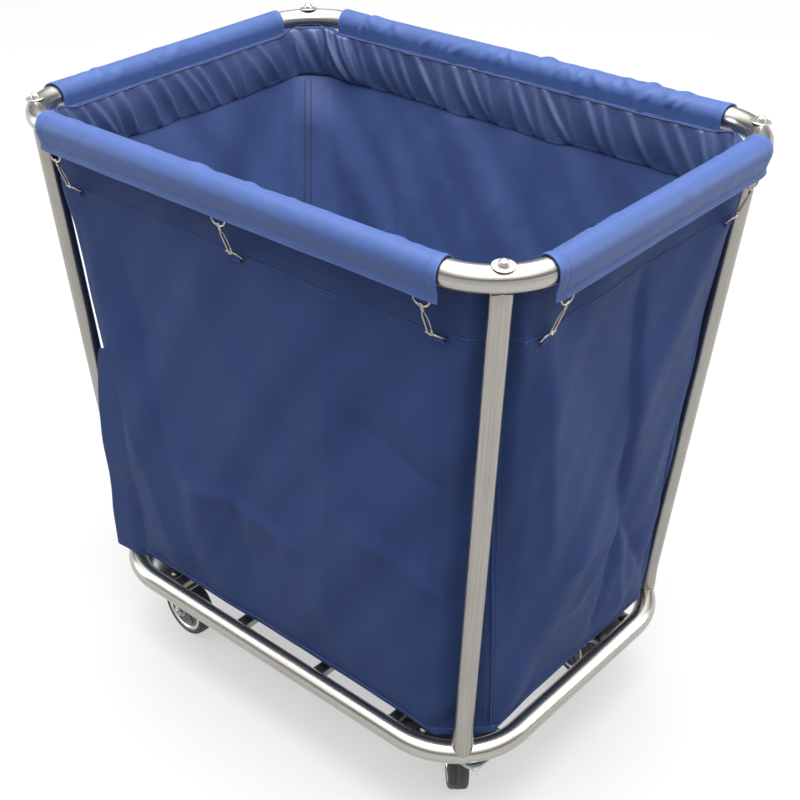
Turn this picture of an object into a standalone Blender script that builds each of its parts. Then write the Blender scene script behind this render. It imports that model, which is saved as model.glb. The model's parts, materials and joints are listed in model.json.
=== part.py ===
"""Laundry cart: a steel tube frame on four swivel casters, hung with a four-sided fabric bag.

Metres, +Z up. X runs along the cart, the floor is at Z = 0 and the origin is under its middle.
"""

import math

import bmesh
import bpy
from mathutils import Matrix, Vector

# Clearance kept between pieces that touch.
GAP = 0.0003

# Tube frame: two rounded rectangles of tube, stated at the tube's centreline.
RAIL_R = 0.016
LEG_R = 0.0127
FOOT_R = 0.0150
FOOT_FLARE = (0.010, 0.040)
BAR_R = 0.011
TUBE_WALL = 0.0015
TOP_HALF_X = 0.420
TOP_HALF_Y = 0.295
TOP_CORNER = 0.092
BASE_HALF_X = 0.3685
BASE_HALF_Y = 0.2605
BASE_CORNER = 0.114
BASE_Z = 0.147
RISE = 0.7515
TOP_Z = BASE_Z + RISE
CORNER_STEPS = 6
RAIL_DETAIL = 4
BAR_PLACES = (0.080, 0.225)
BAR_DROP = 0.0045

# Bolt that holds each corner of the top rail on its leg.
PLUG_LENGTH = 0.030
BOLT_R = 0.004
BOLT_LENGTH = 0.052
WASHER_R = 0.0145
WASHER_T = 0.0025
DOME_R = 0.0065
DOME_H = 0.006

# Plates that carry the casters.
PLATE_T = 0.003
MOUNT_X = (0.214, 0.362)
MOUNT_HALF_Y = 0.0425
CASTER_X = 0.301
CASTER_Y = {-1: -0.187, 1: 0.140}
CASTER_PLATE = (0.105, 0.085)
HOLE_SPACING = (0.080, 0.060)
HOLE_R = 0.0045
MOUNT_TOP = BASE_Z - RAIL_R - GAP
CASTER_TOP = MOUNT_TOP - PLATE_T - GAP

# Caster, in its own frame: the swivel axis is Z and the wheel trails towards +X.
TYRE_R = 0.050
TYRE_INNER_R = 0.0410
TYRE_HALF_W = 0.015
TYRE_STEPS = 28
HUB_STEPS = 16
HUB_HALF_W = 0.0172
TRAIL = 0.038
AXLE_R = 0.0045
AXLE_HEAD_R = 0.0085
AXLE_HEAD_T = 0.005
AXLE_Z = TYRE_R * math.cos(math.pi / TYRE_STEPS)
FORK_INNER = 0.018
FORK_T = 0.0025
CROWN_R = 0.0305
CROWN_TOP = CASTER_TOP - PLATE_T - 0.0085
CROWN_T = 0.0065
KINGPIN_R = 0.007
KINGPIN_HEAD_R = 0.011
KINGPIN_HEAD_T = 0.003

# Heading of each caster, as the angle of its trailing direction.
CASTERS = {
    "near_left": (-1, -1, -4.0),
    "near_right": (1, -1, 132.0),
    "far_right": (1, 1, 158.0),
    "far_left": (-1, 1, 35.0),
}

# Fabric bag: a chamfered tub that hangs inside the legs.
FABRIC_T = 0.003
BAG_TOP_X = TOP_HALF_X - RAIL_R
BAG_TOP_Y = TOP_HALF_Y - RAIL_R
BAG_TOP_Z = TOP_Z - 0.032
BAG_TOP_CHAMFER = 0.047
BAG_FLOOR_X = 0.352
BAG_FLOOR_Y = 0.240
BAG_FLOOR_Z = 0.172
BAG_FLOOR_CHAMFER = 0.050

# Flaps: sleeves folded over the top rail from the inside to the outside.
FLAP_HALF_X = 0.338
FLAP_HALF_Y = 0.222
FLAP_T = 0.0027
FLAP_INNER_R = RAIL_R + 0.0008
FLAP_TUCK = math.radians(16.0)
FLAP_OUTER_DROP = 0.027
FLAP_INNER_DROP = 0.030
FLAP_ARC_STEPS = 8

# Snap hooks: wire links between the flap's hem and the bag's sides.
HOOK_WIRE_R = 0.0011
HOOK_HALF_W = 0.0045
HOOK_LENGTH = 0.049
HOOK_TILT = math.radians(22.0)
HOOK_TOP_Z = 0.8555
HOOK_OUT = 0.0095
LONG_HOOKS = (-0.315, 0.0, 0.315)
SHORT_HOOKS = (-0.200, 0.200)


def clear_scene():
    """Remove the objects that Blender starts with."""
    for obj in list(bpy.data.objects):
        bpy.data.objects.remove(obj, do_unlink=True)


def new_collection(name):
    collection = bpy.data.collections.new(name)
    bpy.context.scene.collection.children.link(collection)
    return collection


def new_material(name, colour, roughness, metallic):
    material = bpy.data.materials.new(name)
    material.use_nodes = True
    shader = material.node_tree.nodes["Principled BSDF"]
    shader.inputs["Base Color"].default_value = (*colour, 1.0)
    shader.inputs["Roughness"].default_value = roughness
    shader.inputs["Metallic"].default_value = metallic
    return material


clear_scene()
PARTS = new_collection("laundry_cart")
CUTTERS = new_collection("cutters")


def add_part(name, mesh, look):
    """Link a mesh as a part with the material called look, shaded smooth where it is round."""
    colour, roughness, metallic = LOOKS[look]
    mesh.materials.clear()
    mesh.materials.append(new_material(name, colour, roughness, metallic))
    mesh.shade_smooth()
    mesh.set_sharp_from_angle(angle=math.radians(40.0))
    mesh.name = name
    part = bpy.data.objects.new(name, mesh)
    PARTS.objects.link(part)
    return part


LOOKS = {
    "stainless": ((0.62, 0.61, 0.59), 0.28, 1.0),
    "zinc": ((0.50, 0.53, 0.54), 0.42, 1.0),
    "chrome": ((0.72, 0.71, 0.70), 0.18, 1.0),
    "rubber": ((0.03, 0.03, 0.035), 0.60, 0.0),
    "nylon": ((0.20, 0.22, 0.22), 0.45, 0.0),
    "canvas": ((0.035, 0.055, 0.150), 0.75, 0.0),
    "flap": ((0.055, 0.095, 0.260), 0.60, 0.0),
}


def evaluated_mesh(obj):
    """The object's mesh in world space with its modifiers applied; the object is removed."""
    bpy.context.view_layer.update()
    depsgraph = bpy.context.evaluated_depsgraph_get()
    mesh = bpy.data.meshes.new_from_object(obj.evaluated_get(depsgraph), depsgraph=depsgraph)
    mesh.transform(obj.matrix_world)
    bm = bmesh.new()
    bm.from_mesh(mesh)
    bmesh.ops.remove_doubles(bm, verts=bm.verts, dist=0.00001)
    bmesh.ops.recalc_face_normals(bm, faces=bm.faces)
    bm.to_mesh(mesh)
    bm.free()
    bpy.data.objects.remove(obj, do_unlink=True)
    return mesh


def curve_mesh(points, closed=False, radius=0.0, resolution=2, section=None):
    """A tube of the given radius, or a sweep of a closed section, along a list of points."""
    curve = bpy.data.curves.new("path", "CURVE")
    curve.dimensions = "3D"
    curve.twist_mode = "Z_UP"
    curve.use_fill_caps = True
    spline = curve.splines.new("POLY")
    spline.points.add(len(points) - 1)
    for knot, point in zip(spline.points, points):
        knot.co = (*point, 1.0)
    spline.use_cyclic_u = closed
    if section is None:
        curve.bevel_depth = radius
        curve.bevel_resolution = resolution
    else:
        curve.bevel_mode = "OBJECT"
        curve.bevel_object = section
    path = bpy.data.objects.new("path", curve)
    CUTTERS.objects.link(path)
    return evaluated_mesh(path)


def outline_mesh(outline, thickness):
    """A flat plate: the outline, a closed list of (x, y), extruded evenly about Z = 0."""
    curve = bpy.data.curves.new("outline", "CURVE")
    curve.dimensions = "2D"
    curve.fill_mode = "BOTH"
    curve.extrude = thickness / 2.0
    spline = curve.splines.new("POLY")
    spline.points.add(len(outline) - 1)
    for knot, (x, y) in zip(spline.points, outline):
        knot.co = (x, y, 0.0, 1.0)
    spline.use_cyclic_u = True
    plate = bpy.data.objects.new("outline", curve)
    CUTTERS.objects.link(plate)
    return evaluated_mesh(plate)


def turned_mesh(profile, steps, closed=False, first_angle=0.0):
    """A solid of revolution about Z from (radius, z) points that run down the outer side."""
    mesh = bpy.data.meshes.new("profile")
    bm = bmesh.new()
    knots = [bm.verts.new((radius, 0.0, z)) for radius, z in profile]
    for start, end in zip(knots, knots[1:]):
        bm.edges.new((start, end))
    if closed:
        bm.edges.new((knots[-1], knots[0]))
    bmesh.ops.rotate(bm, verts=bm.verts, matrix=Matrix.Rotation(first_angle, 3, "Z"))
    bm.to_mesh(mesh)
    bm.free()
    solid = bpy.data.objects.new("profile", mesh)
    CUTTERS.objects.link(solid)
    screw = solid.modifiers.new("Screw", "SCREW")
    screw.axis = "Z"
    screw.steps = steps
    screw.render_steps = steps
    screw.use_merge_vertices = True
    screw.merge_threshold = 0.00001
    return evaluated_mesh(solid)


def box_mesh(low, high):
    mesh = bpy.data.meshes.new("box")
    bm = bmesh.new()
    bmesh.ops.create_cube(bm, size=1.0)
    low, high = Vector(low), Vector(high)
    bmesh.ops.scale(bm, vec=high - low, verts=bm.verts)
    bmesh.ops.translate(bm, vec=(low + high) / 2.0, verts=bm.verts)
    bm.to_mesh(mesh)
    bm.free()
    return mesh


def rod_mesh(start, end, radius, sides):
    """A solid cylinder between two points."""
    start, end = Vector(start), Vector(end)
    span = end - start
    mesh = bpy.data.meshes.new("rod")
    bm = bmesh.new()
    bmesh.ops.create_cone(
        bm, cap_ends=True, segments=sides, radius1=radius, radius2=radius, depth=span.length
    )
    turn = span.to_track_quat("Z", "Y").to_matrix()
    bmesh.ops.rotate(bm, verts=bm.verts, matrix=turn)
    bmesh.ops.translate(bm, vec=(start + end) / 2.0, verts=bm.verts)
    bm.to_mesh(mesh)
    bm.free()
    return mesh


def combined(mesh, others, operation):
    """The mesh with other meshes cut from it (DIFFERENCE) or joined to it (UNION)."""
    target = bpy.data.objects.new("target", mesh)
    CUTTERS.objects.link(target)
    tools = []
    for other in others:
        tool = bpy.data.objects.new("tool", other)
        tool.hide_render = True
        tool.display_type = "WIRE"
        CUTTERS.objects.link(tool)
        tools.append(tool)
        boolean = target.modifiers.new("Boolean", "BOOLEAN")
        boolean.operation = operation
        boolean.object = tool
    result = evaluated_mesh(target)
    for tool in tools:
        bpy.data.objects.remove(tool, do_unlink=True)
    return result


def moved(mesh, matrix):
    mesh.transform(matrix)
    return mesh


def rounded_loop(half_x, half_y, corner, z):
    """Points round a rounded rectangle, anticlockwise from its +X side."""
    points = []
    for quarter, (side_x, side_y) in enumerate(((1, 1), (-1, 1), (-1, -1), (1, -1))):
        centre = Vector((side_x * (half_x - corner), side_y * (half_y - corner), z))
        for step in range(CORNER_STEPS + 1):
            angle = math.pi / 2.0 * (quarter + step / CORNER_STEPS)
            points.append(centre + corner * Vector((math.cos(angle), math.sin(angle), 0.0)))
    return points


def corner_point(side_x, side_y, half_x, half_y, corner, z):
    """The middle of one corner's arc, on the tube's centreline."""
    inset = corner * (1.0 - math.sqrt(0.5))
    return Vector((side_x * (half_x - inset), side_y * (half_y - inset), z))


TOP_LOOP = rounded_loop(TOP_HALF_X, TOP_HALF_Y, TOP_CORNER, TOP_Z)
BASE_LOOP = rounded_loop(BASE_HALF_X, BASE_HALF_Y, BASE_CORNER, BASE_Z)
CORNERS = {
    "near_left": (-1, -1),
    "near_right": (1, -1),
    "far_right": (1, 1),
    "far_left": (-1, 1),
}


def leg_ends(side_x, side_y):
    foot = corner_point(side_x, side_y, BASE_HALF_X, BASE_HALF_Y, BASE_CORNER, BASE_Z)
    head = corner_point(side_x, side_y, TOP_HALF_X, TOP_HALF_Y, TOP_CORNER, TOP_Z)
    return foot, head


def rail_cutter(loop):
    return curve_mesh(loop, closed=True, radius=RAIL_R + GAP, resolution=RAIL_DETAIL)


def build_rails():
    """The two tube rings. Bolt and drain holes open each ring's hollow to the outside."""
    tools = [curve_mesh(TOP_LOOP, closed=True, radius=RAIL_R - TUBE_WALL, resolution=2)]
    for side_x, side_y in CORNERS.values():
        foot, head = leg_ends(side_x, side_y)
        along = (head - foot).normalized()
        reach = 2.0 * RAIL_R * along
        tools.append(rod_mesh(head - reach, head + reach, BOLT_R + GAP, 8))
    outer = curve_mesh(TOP_LOOP, closed=True, radius=RAIL_R, resolution=RAIL_DETAIL)
    add_part("top_rail", combined(outer, tools, "DIFFERENCE"), "stainless")

    tools = [curve_mesh(BASE_LOOP, closed=True, radius=RAIL_R - TUBE_WALL, resolution=2)]
    for side_y in (-1, 1):
        middle = Vector((0.0, side_y * BASE_HALF_Y, BASE_Z))
        tools.append(rod_mesh(middle - Vector((0.0, 0.0, 2.0 * RAIL_R)), middle, 0.004, 8))
    outer = curve_mesh(BASE_LOOP, closed=True, radius=RAIL_R, resolution=RAIL_DETAIL)
    add_part("bottom_rail", combined(outer, tools, "DIFFERENCE"), "stainless")


def build_legs():
    """Leaning tubes, flared at the foot and coped to both rings, with a drilled plug on top."""
    for name, (side_x, side_y) in CORNERS.items():
        foot, head = leg_ends(side_x, side_y)
        along = (head - foot).normalized()
        length = (head - foot).length
        profile = [(0.0, length), (LEG_R, length), (LEG_R, FOOT_FLARE[1])]
        profile += [(FOOT_R, FOOT_FLARE[0]), (FOOT_R, 0.0), (0.0, 0.0)]
        lean = along.to_track_quat("Z", "Y").to_matrix().to_4x4()
        tube = moved(turned_mesh(profile, 16), Matrix.Translation(foot) @ lean)
        plug_foot = head - (RAIL_R + PLUG_LENGTH) * along
        hollow = rod_mesh(foot - RAIL_R * along, plug_foot, LEG_R - TUBE_WALL, 12)
        drilling = rod_mesh(plug_foot - LEG_R * along, head, BOLT_R + GAP, 8)
        tools = [rail_cutter(TOP_LOOP), rail_cutter(BASE_LOOP), hollow, drilling]
        add_part(f"leg_{name}", combined(tube, tools, "DIFFERENCE"), "stainless")


def build_corner_bolts():
    """Domed bolts with a washer under the head, in line with the legs."""
    profile = [(0.0, DOME_H + WASHER_T)]
    for step in range(1, 4):
        angle = math.pi / 2.0 * step / 3.0
        height = WASHER_T + DOME_H * math.cos(angle)
        profile.append((DOME_R * math.sin(angle), height))
    profile += [(WASHER_R, WASHER_T), (WASHER_R, 0.0), (BOLT_R, 0.0)]
    profile += [(BOLT_R, -BOLT_LENGTH), (0.0, -BOLT_LENGTH)]
    for name, (side_x, side_y) in CORNERS.items():
        foot, head = leg_ends(side_x, side_y)
        along = (head - foot).normalized()
        tilt = along.to_track_quat("Z", "Y").to_matrix().to_4x4()
        seat = head + (RAIL_R + GAP) * along
        bolt = moved(turned_mesh(profile, 12), Matrix.Translation(seat) @ tilt)
        add_part(f"corner_bolt_{name}", bolt, "chrome")


def build_cross_bars():
    """Four tubes across the bottom ring, coped to its long sides."""
    places = [-place for place in reversed(BAR_PLACES)] + list(BAR_PLACES)
    for number, place in enumerate(places, start=1):
        half = BASE_HALF_Y - 0.003
        ends = [Vector((place, side * half, BASE_Z - BAR_DROP)) for side in (-1, 1)]
        bores = [Vector((place, side * BASE_HALF_Y, BASE_Z - BAR_DROP)) for side in (-1, 1)]
        bar = rod_mesh(*ends, BAR_R, 12)
        bore = rod_mesh(*bores, BAR_R - TUBE_WALL, 10)
        mesh = combined(bar, [rail_cutter(BASE_LOOP), bore], "DIFFERENCE")
        add_part(f"cross_bar_{number}", mesh, "stainless")


def plate_holes(centre_x, centre_y, z):
    """Cutters for a caster's four bolt holes, through whatever lies near height z."""
    holes = []
    for side_x in (-0.5, 0.5):
        for side_y in (-0.5, 0.5):
            offset = Vector((side_x * HOLE_SPACING[0], side_y * HOLE_SPACING[1], 0.0))
            place = Vector((centre_x, centre_y, z)) + offset
            reach = Vector((0.0, 0.0, 2.0 * PLATE_T))
            holes.append(rod_mesh(place - reach, place + reach, HOLE_R, 8))
    return holes


def build_mount_plates():
    """Steel plates welded under the bottom ring and the outer cross bars."""
    for name, (side_x, side_y) in CORNERS.items():
        xs = sorted(side_x * x for x in MOUNT_X)
        ys = [CASTER_Y[side_y] + side * MOUNT_HALF_Y for side in (-1, 1)]
        plate = box_mesh((xs[0], ys[0], MOUNT_TOP - PLATE_T), (xs[1], ys[1], MOUNT_TOP))
        holes = plate_holes(side_x * CASTER_X, CASTER_Y[side_y], MOUNT_TOP)
        add_part(f"mount_plate_{name}", combined(plate, holes, "DIFFERENCE"), "zinc")


def caster_top_mesh():
    """Top plate with its raceway and the kingpin that the fork turns on."""
    half_x, half_y = CASTER_PLATE[0] / 2.0, CASTER_PLATE[1] / 2.0
    under = CASTER_TOP - PLATE_T
    race = CROWN_TOP + 2.0 * GAP
    head_top = CROWN_TOP - CROWN_T - GAP
    profile = [
        (0.0, CASTER_TOP - PLATE_T / 2.0),
        (0.024, CASTER_TOP - PLATE_T / 2.0),
        (0.024, under),
        (0.029, under - 0.004),
        (0.029, race),
        (KINGPIN_R, race),
        (KINGPIN_R, head_top),
        (KINGPIN_HEAD_R, head_top),
        (KINGPIN_HEAD_R, head_top - KINGPIN_HEAD_T),
        (0.0, head_top - KINGPIN_HEAD_T),
    ]
    plate = box_mesh((-half_x, -half_y, under), (half_x, half_y, CASTER_TOP))
    drilled = combined(plate, plate_holes(0.0, 0.0, CASTER_TOP), "DIFFERENCE")
    return combined(drilled, [turned_mesh(profile, 14)], "UNION")


def fork_mesh():
    """Pressed steel fork: a round crown on the swivel axis and two arms to the axle."""
    crown_profile = [
        (KINGPIN_R + GAP, CROWN_TOP),
        (CROWN_R - 0.002, CROWN_TOP),
        (CROWN_R, CROWN_TOP - 0.002),
        (CROWN_R, CROWN_TOP - CROWN_T),
        (KINGPIN_R + GAP, CROWN_TOP - CROWN_T),
    ]
    crown = turned_mesh(crown_profile, 16, closed=True)
    arm_top = CROWN_TOP - CROWN_T / 2.0
    boss = 0.012
    outline = [(-0.020, arm_top), (-0.020, CROWN_TOP - CROWN_T - 0.006)]
    for step in range(7):
        angle = math.radians(-150.0 + 30.0 * step)
        outline.append((TRAIL + boss * math.cos(angle), AXLE_Z + boss * math.sin(angle)))
    outline += [(0.026, CROWN_TOP - CROWN_T - 0.006), (0.022, arm_top)]
    stand = Matrix.Rotation(math.pi / 2.0, 4, "X")
    arms = []
    for side in (-1, 1):
        place = Matrix.Translation((0.0, side * (FORK_INNER + FORK_T / 2.0), 0.0))
        arms.append(moved(outline_mesh(outline, FORK_T), place @ stand))
    body = combined(crown, arms, "UNION")
    reach = FORK_INNER + 2.0 * FORK_T
    drilling = rod_mesh((TRAIL, -reach, AXLE_Z), (TRAIL, reach, AXLE_Z), AXLE_R + GAP, 12)
    return combined(body, [drilling], "DIFFERENCE")


def axle_mesh():
    """Axle with a head at each end, turned about Z."""
    face = FORK_INNER + FORK_T + GAP
    end = face + AXLE_HEAD_T
    profile = [(0.0, end), (AXLE_HEAD_R, end), (AXLE_HEAD_R, face), (AXLE_R, face)]
    profile += [(radius, -z) for radius, z in reversed(profile)]
    return turned_mesh(profile, 12)


def hub_mesh():
    """Wheel centre with a boss at each side and a bore for the axle, turned about Z."""
    rim = TYRE_INNER_R - GAP
    flank = [
        (AXLE_R + GAP, HUB_HALF_W),
        (0.012, HUB_HALF_W),
        (0.014, 0.009),
        (rim - 0.007, 0.009),
        (rim, TYRE_HALF_W - 0.001),
    ]
    profile = flank + [(radius, -z) for radius, z in reversed(flank)]
    return turned_mesh(profile, HUB_STEPS, closed=True)


def tyre_mesh():
    """Rubber tyre, turned about Z, with a flat facet below the axle when it stands."""
    flank = [
        (TYRE_INNER_R, TYRE_HALF_W),
        (TYRE_R - 0.003, TYRE_HALF_W),
        (TYRE_R, TYRE_HALF_W - 0.004),
    ]
    profile = flank + [(radius, -z) for radius, z in reversed(flank)]
    half_step = math.pi / TYRE_STEPS
    return turned_mesh(profile, TYRE_STEPS, closed=True, first_angle=half_step)


def build_casters():
    """Four casters. An empty on each swivel axis and each axle carries what turns there."""
    top, fork, axle = caster_top_mesh(), fork_mesh(), axle_mesh()
    hub, tyre = hub_mesh(), tyre_mesh()
    lay_down = Matrix.Rotation(math.pi / 2.0, 4, "X")
    for mesh in (axle, hub, tyre):
        moved(mesh, lay_down)
    for name, (side_x, side_y, heading) in CASTERS.items():
        plate = add_part(f"caster_plate_{name}", top.copy(), "zinc")
        plate.location = (side_x * CASTER_X, CASTER_Y[side_y], 0.0)
        swivel = bpy.data.objects.new(f"swivel_axis_{name}", None)
        swivel.location = plate.location
        swivel.rotation_euler.z = math.radians(heading)
        spin = bpy.data.objects.new(f"wheel_axis_{name}", None)
        spin.location = (TRAIL, 0.0, AXLE_Z)
        spin.parent = swivel
        PARTS.objects.link(swivel)
        PARTS.objects.link(spin)
        add_part(f"caster_fork_{name}", fork.copy(), "zinc").parent = swivel
        add_part(f"caster_axle_{name}", axle.copy(), "zinc").parent = spin
        add_part(f"caster_hub_{name}", hub.copy(), "nylon").parent = spin
        add_part(f"caster_tyre_{name}", tyre.copy(), "rubber").parent = spin


def sheet_mesh(upper, lower):
    """A strip of cloth between two rows of points, thickened towards the inside of the bag."""
    mesh = bpy.data.meshes.new("sheet")
    bm = bmesh.new()
    top = [bm.verts.new(point) for point in upper]
    foot = [bm.verts.new(point) for point in lower]
    for index in range(len(upper) - 1):
        bm.faces.new((foot[index], foot[index + 1], top[index + 1], top[index]))
    bm.to_mesh(mesh)
    bm.free()
    sheet = bpy.data.objects.new("sheet", mesh)
    CUTTERS.objects.link(sheet)
    thicken = sheet.modifiers.new("Solidify", "SOLIDIFY")
    thicken.thickness = FABRIC_T
    thicken.offset = -1.0
    thicken.use_even_offset = True
    return evaluated_mesh(sheet)


def bag_row(z, half_x, half_y, chamfer, share):
    """Points of one level of a bag side, seen from outside and running to the right."""
    if share == "long":
        run = [(-half_x, -half_y + chamfer), (-half_x + chamfer, -half_y)]
        run += [(-x, y) for x, y in reversed(run)]
    else:
        reach = half_y - chamfer - FABRIC_T
        run = [(half_x, -reach), (half_x, reach)]
    return [Vector((x, y, z)) for x, y in run]


def build_bag():
    """Four sides of canvas round a floor, with chamfered corners inside the legs."""
    for share, names in (("long", ("front", "back")), ("short", ("right", "left"))):
        upper = bag_row(BAG_TOP_Z, BAG_TOP_X, BAG_TOP_Y, BAG_TOP_CHAMFER, share)
        lower = bag_row(BAG_FLOOR_Z, BAG_FLOOR_X, BAG_FLOOR_Y, BAG_FLOOR_CHAMFER, share)
        mesh = sheet_mesh(upper, lower)
        add_part(f"bag_{names[0]}", mesh, "canvas")
        half_turn = Matrix.Rotation(math.pi, 4, "Z")
        add_part(f"bag_{names[1]}", moved(mesh.copy(), half_turn), "canvas")
    inset = FABRIC_T + 2.0 * GAP
    chamfer = BAG_FLOOR_CHAMFER - (2.0 - math.sqrt(2.0)) * inset
    row = bag_row(0.0, BAG_FLOOR_X - inset, BAG_FLOOR_Y - inset, chamfer, "long")
    outline = [(point.x, point.y) for point in row]
    outline += [(-x, -y) for x, y in outline]
    middle = Matrix.Translation((0.0, 0.0, BAG_FLOOR_Z + FABRIC_T / 2.0))
    add_part("bag_floor", moved(outline_mesh(outline, FABRIC_T), middle), "canvas")


def flap_section():
    """Closed section of a sleeve: an arch over the rail, its outer leg drawn in under the rail."""
    outer_r = FLAP_INNER_R + FLAP_T
    arch = []
    for radius, order in ((outer_r, 1), (FLAP_INNER_R, -1)):
        row = []
        for step in range(FLAP_ARC_STEPS + 1):
            angle = -FLAP_TUCK + (math.pi + FLAP_TUCK) * step / FLAP_ARC_STEPS
            row.append((radius * math.cos(angle), radius * math.sin(angle)))
        hem_out = row[0][0] - FLAP_OUTER_DROP * math.sin(FLAP_TUCK)
        hem_up = row[0][1] - FLAP_OUTER_DROP * math.cos(FLAP_TUCK)
        row.insert(0, (hem_out, hem_up))
        row.append((-radius, -FLAP_INNER_DROP))
        arch += row[::order]
    curve = bpy.data.curves.new("flap_section", "CURVE")
    curve.dimensions = "2D"
    spline = curve.splines.new("POLY")
    spline.points.add(len(arch) - 1)
    for knot, (out, up) in zip(spline.points, arch):
        knot.co = (out, up, 0.0, 1.0)
    spline.use_cyclic_u = True
    section = bpy.data.objects.new("flap_section", curve)
    section.hide_render = True
    section.display_type = "WIRE"
    CUTTERS.objects.link(section)
    return section


def flap_path(half_straight, reach, out):
    """The rail's centreline on the side at +X = out, ending at y = reach on its first bends."""
    bend = math.pi / 4.0 / CORNER_STEPS
    end_x = out - (reach - half_straight) * math.tan(bend)
    half = [Vector((out, half_straight, TOP_Z)), Vector((end_x, reach, TOP_Z))]
    return [Vector((p.x, -p.y, p.z)) for p in reversed(half)] + half


def build_flaps():
    """Four sleeves, each swept along its side of the top rail."""
    section = flap_section()
    sides = (
        ("right", 0.0, TOP_HALF_Y, FLAP_HALF_Y, TOP_HALF_X),
        ("back", 90.0, TOP_HALF_X, FLAP_HALF_X, TOP_HALF_Y),
        ("left", 180.0, TOP_HALF_Y, FLAP_HALF_Y, TOP_HALF_X),
        ("front", 270.0, TOP_HALF_X, FLAP_HALF_X, TOP_HALF_Y),
    )
    for name, turn, half, reach, out in sides:
        path = flap_path(half - TOP_CORNER, reach, out)
        mesh = curve_mesh(path, section=section)
        add_part(f"bag_flap_{name}", moved(mesh, Matrix.Rotation(math.radians(turn), 4, "Z")), "flap")
    bpy.data.objects.remove(section, do_unlink=True)


def hook_mesh():
    """Narrow wire link in the YZ plane, hung from its top at the origin, leaning towards -X."""
    width = HOOK_HALF_W
    foot = -HOOK_LENGTH + 2.0 * HOOK_WIRE_R
    side = [(0.0, 0.0), (0.0026, -0.0010), (0.0034, -0.0045), (width, -0.016)]
    side += [(width, foot + 0.008), (0.0034, foot + 0.002), (0.0, foot)]
    loop = side + [(-y, z) for y, z in reversed(side[1:-1])]
    points = [Vector((0.0, y, z)) for y, z in loop]
    mesh = curve_mesh(points, closed=True, radius=HOOK_WIRE_R, resolution=1)
    return moved(mesh, Matrix.Rotation(HOOK_TILT, 4, "Y"))


def build_hooks():
    """Three hooks on each long side and two on each short side, hinged at their tops."""
    mesh = hook_mesh()
    sides = (
        ("right", 0.0, TOP_HALF_X, SHORT_HOOKS),
        ("back", 90.0, TOP_HALF_Y, LONG_HOOKS),
        ("left", 180.0, TOP_HALF_X, SHORT_HOOKS),
        ("front", 270.0, TOP_HALF_Y, LONG_HOOKS),
    )
    for name, turn, out, places in sides:
        spin = Matrix.Rotation(math.radians(turn), 4, "Z")
        for number, along in enumerate(places, start=1):
            hook = add_part(f"snap_hook_{name}_{number}", mesh.copy(), "chrome")
            place = Vector((out + HOOK_OUT, along, HOOK_TOP_Z))
            hook.matrix_world = spin @ Matrix.Translation(place)


build_rails()
build_legs()
build_corner_bolts()
build_cross_bars()
build_mount_plates()
build_casters()
build_bag()
build_flaps()
build_hooks()
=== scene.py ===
"""Looks of the laundry cart: steel tube, casters, snap hooks and a canvas bag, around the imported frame."""

import json
import math
import random

import bmesh
import bpy
import numpy as np
from mathutils import Matrix, Vector


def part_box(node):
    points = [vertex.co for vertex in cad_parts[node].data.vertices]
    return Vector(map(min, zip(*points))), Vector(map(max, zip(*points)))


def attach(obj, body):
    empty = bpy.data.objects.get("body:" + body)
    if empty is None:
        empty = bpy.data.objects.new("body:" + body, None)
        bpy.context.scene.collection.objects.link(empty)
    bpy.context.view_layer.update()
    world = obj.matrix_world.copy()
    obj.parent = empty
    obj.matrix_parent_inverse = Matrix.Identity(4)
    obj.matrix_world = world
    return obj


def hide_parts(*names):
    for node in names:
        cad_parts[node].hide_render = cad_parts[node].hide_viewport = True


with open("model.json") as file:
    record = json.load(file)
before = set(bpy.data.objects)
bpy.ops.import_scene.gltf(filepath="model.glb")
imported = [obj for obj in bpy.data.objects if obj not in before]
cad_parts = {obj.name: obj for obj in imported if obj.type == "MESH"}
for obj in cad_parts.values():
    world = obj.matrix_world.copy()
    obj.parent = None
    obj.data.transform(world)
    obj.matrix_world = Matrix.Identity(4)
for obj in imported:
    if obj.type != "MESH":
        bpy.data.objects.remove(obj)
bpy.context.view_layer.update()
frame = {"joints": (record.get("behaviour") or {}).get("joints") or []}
JOINTS = {joint["name"]: joint for joint in frame["joints"]}

# Tube sizes, in metres; the places come from the frame.
RAIL_R = 0.016
LEG_R = 0.0127
FOOT_R = 0.0152
FOOT_HEIGHT = 0.045
BAR_R = 0.011
TUBE_WALL = 0.0015
TOP_CORNER = 0.092
BASE_CORNER = 0.114

TOP_LOW, TOP_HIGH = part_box("top_rail")
BASE_LOW, BASE_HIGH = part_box("bottom_rail")
TOP_Z = (TOP_LOW.z + TOP_HIGH.z) / 2
TOP_HALF_X = TOP_HIGH.x - RAIL_R
TOP_HALF_Y = TOP_HIGH.y - RAIL_R
BASE_Z = (BASE_LOW.z + BASE_HIGH.z) / 2
BASE_HALF_X = BASE_HIGH.x - RAIL_R
BASE_HALF_Y = BASE_HIGH.y - RAIL_R
TOP_RING = (TOP_HALF_X, TOP_HALF_Y, TOP_CORNER, TOP_Z)
BASE_RING = (BASE_HALF_X, BASE_HALF_Y, BASE_CORNER, BASE_Z)

CORNERS = {"near_left": (-1, -1), "near_right": (1, -1), "far_right": (1, 1), "far_left": (-1, 1)}
SIDES = {"right": 0, "back": 90, "left": 180, "front": 270}
HOOK_COUNT = {"right": 2, "back": 3, "left": 2, "front": 3}

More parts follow.
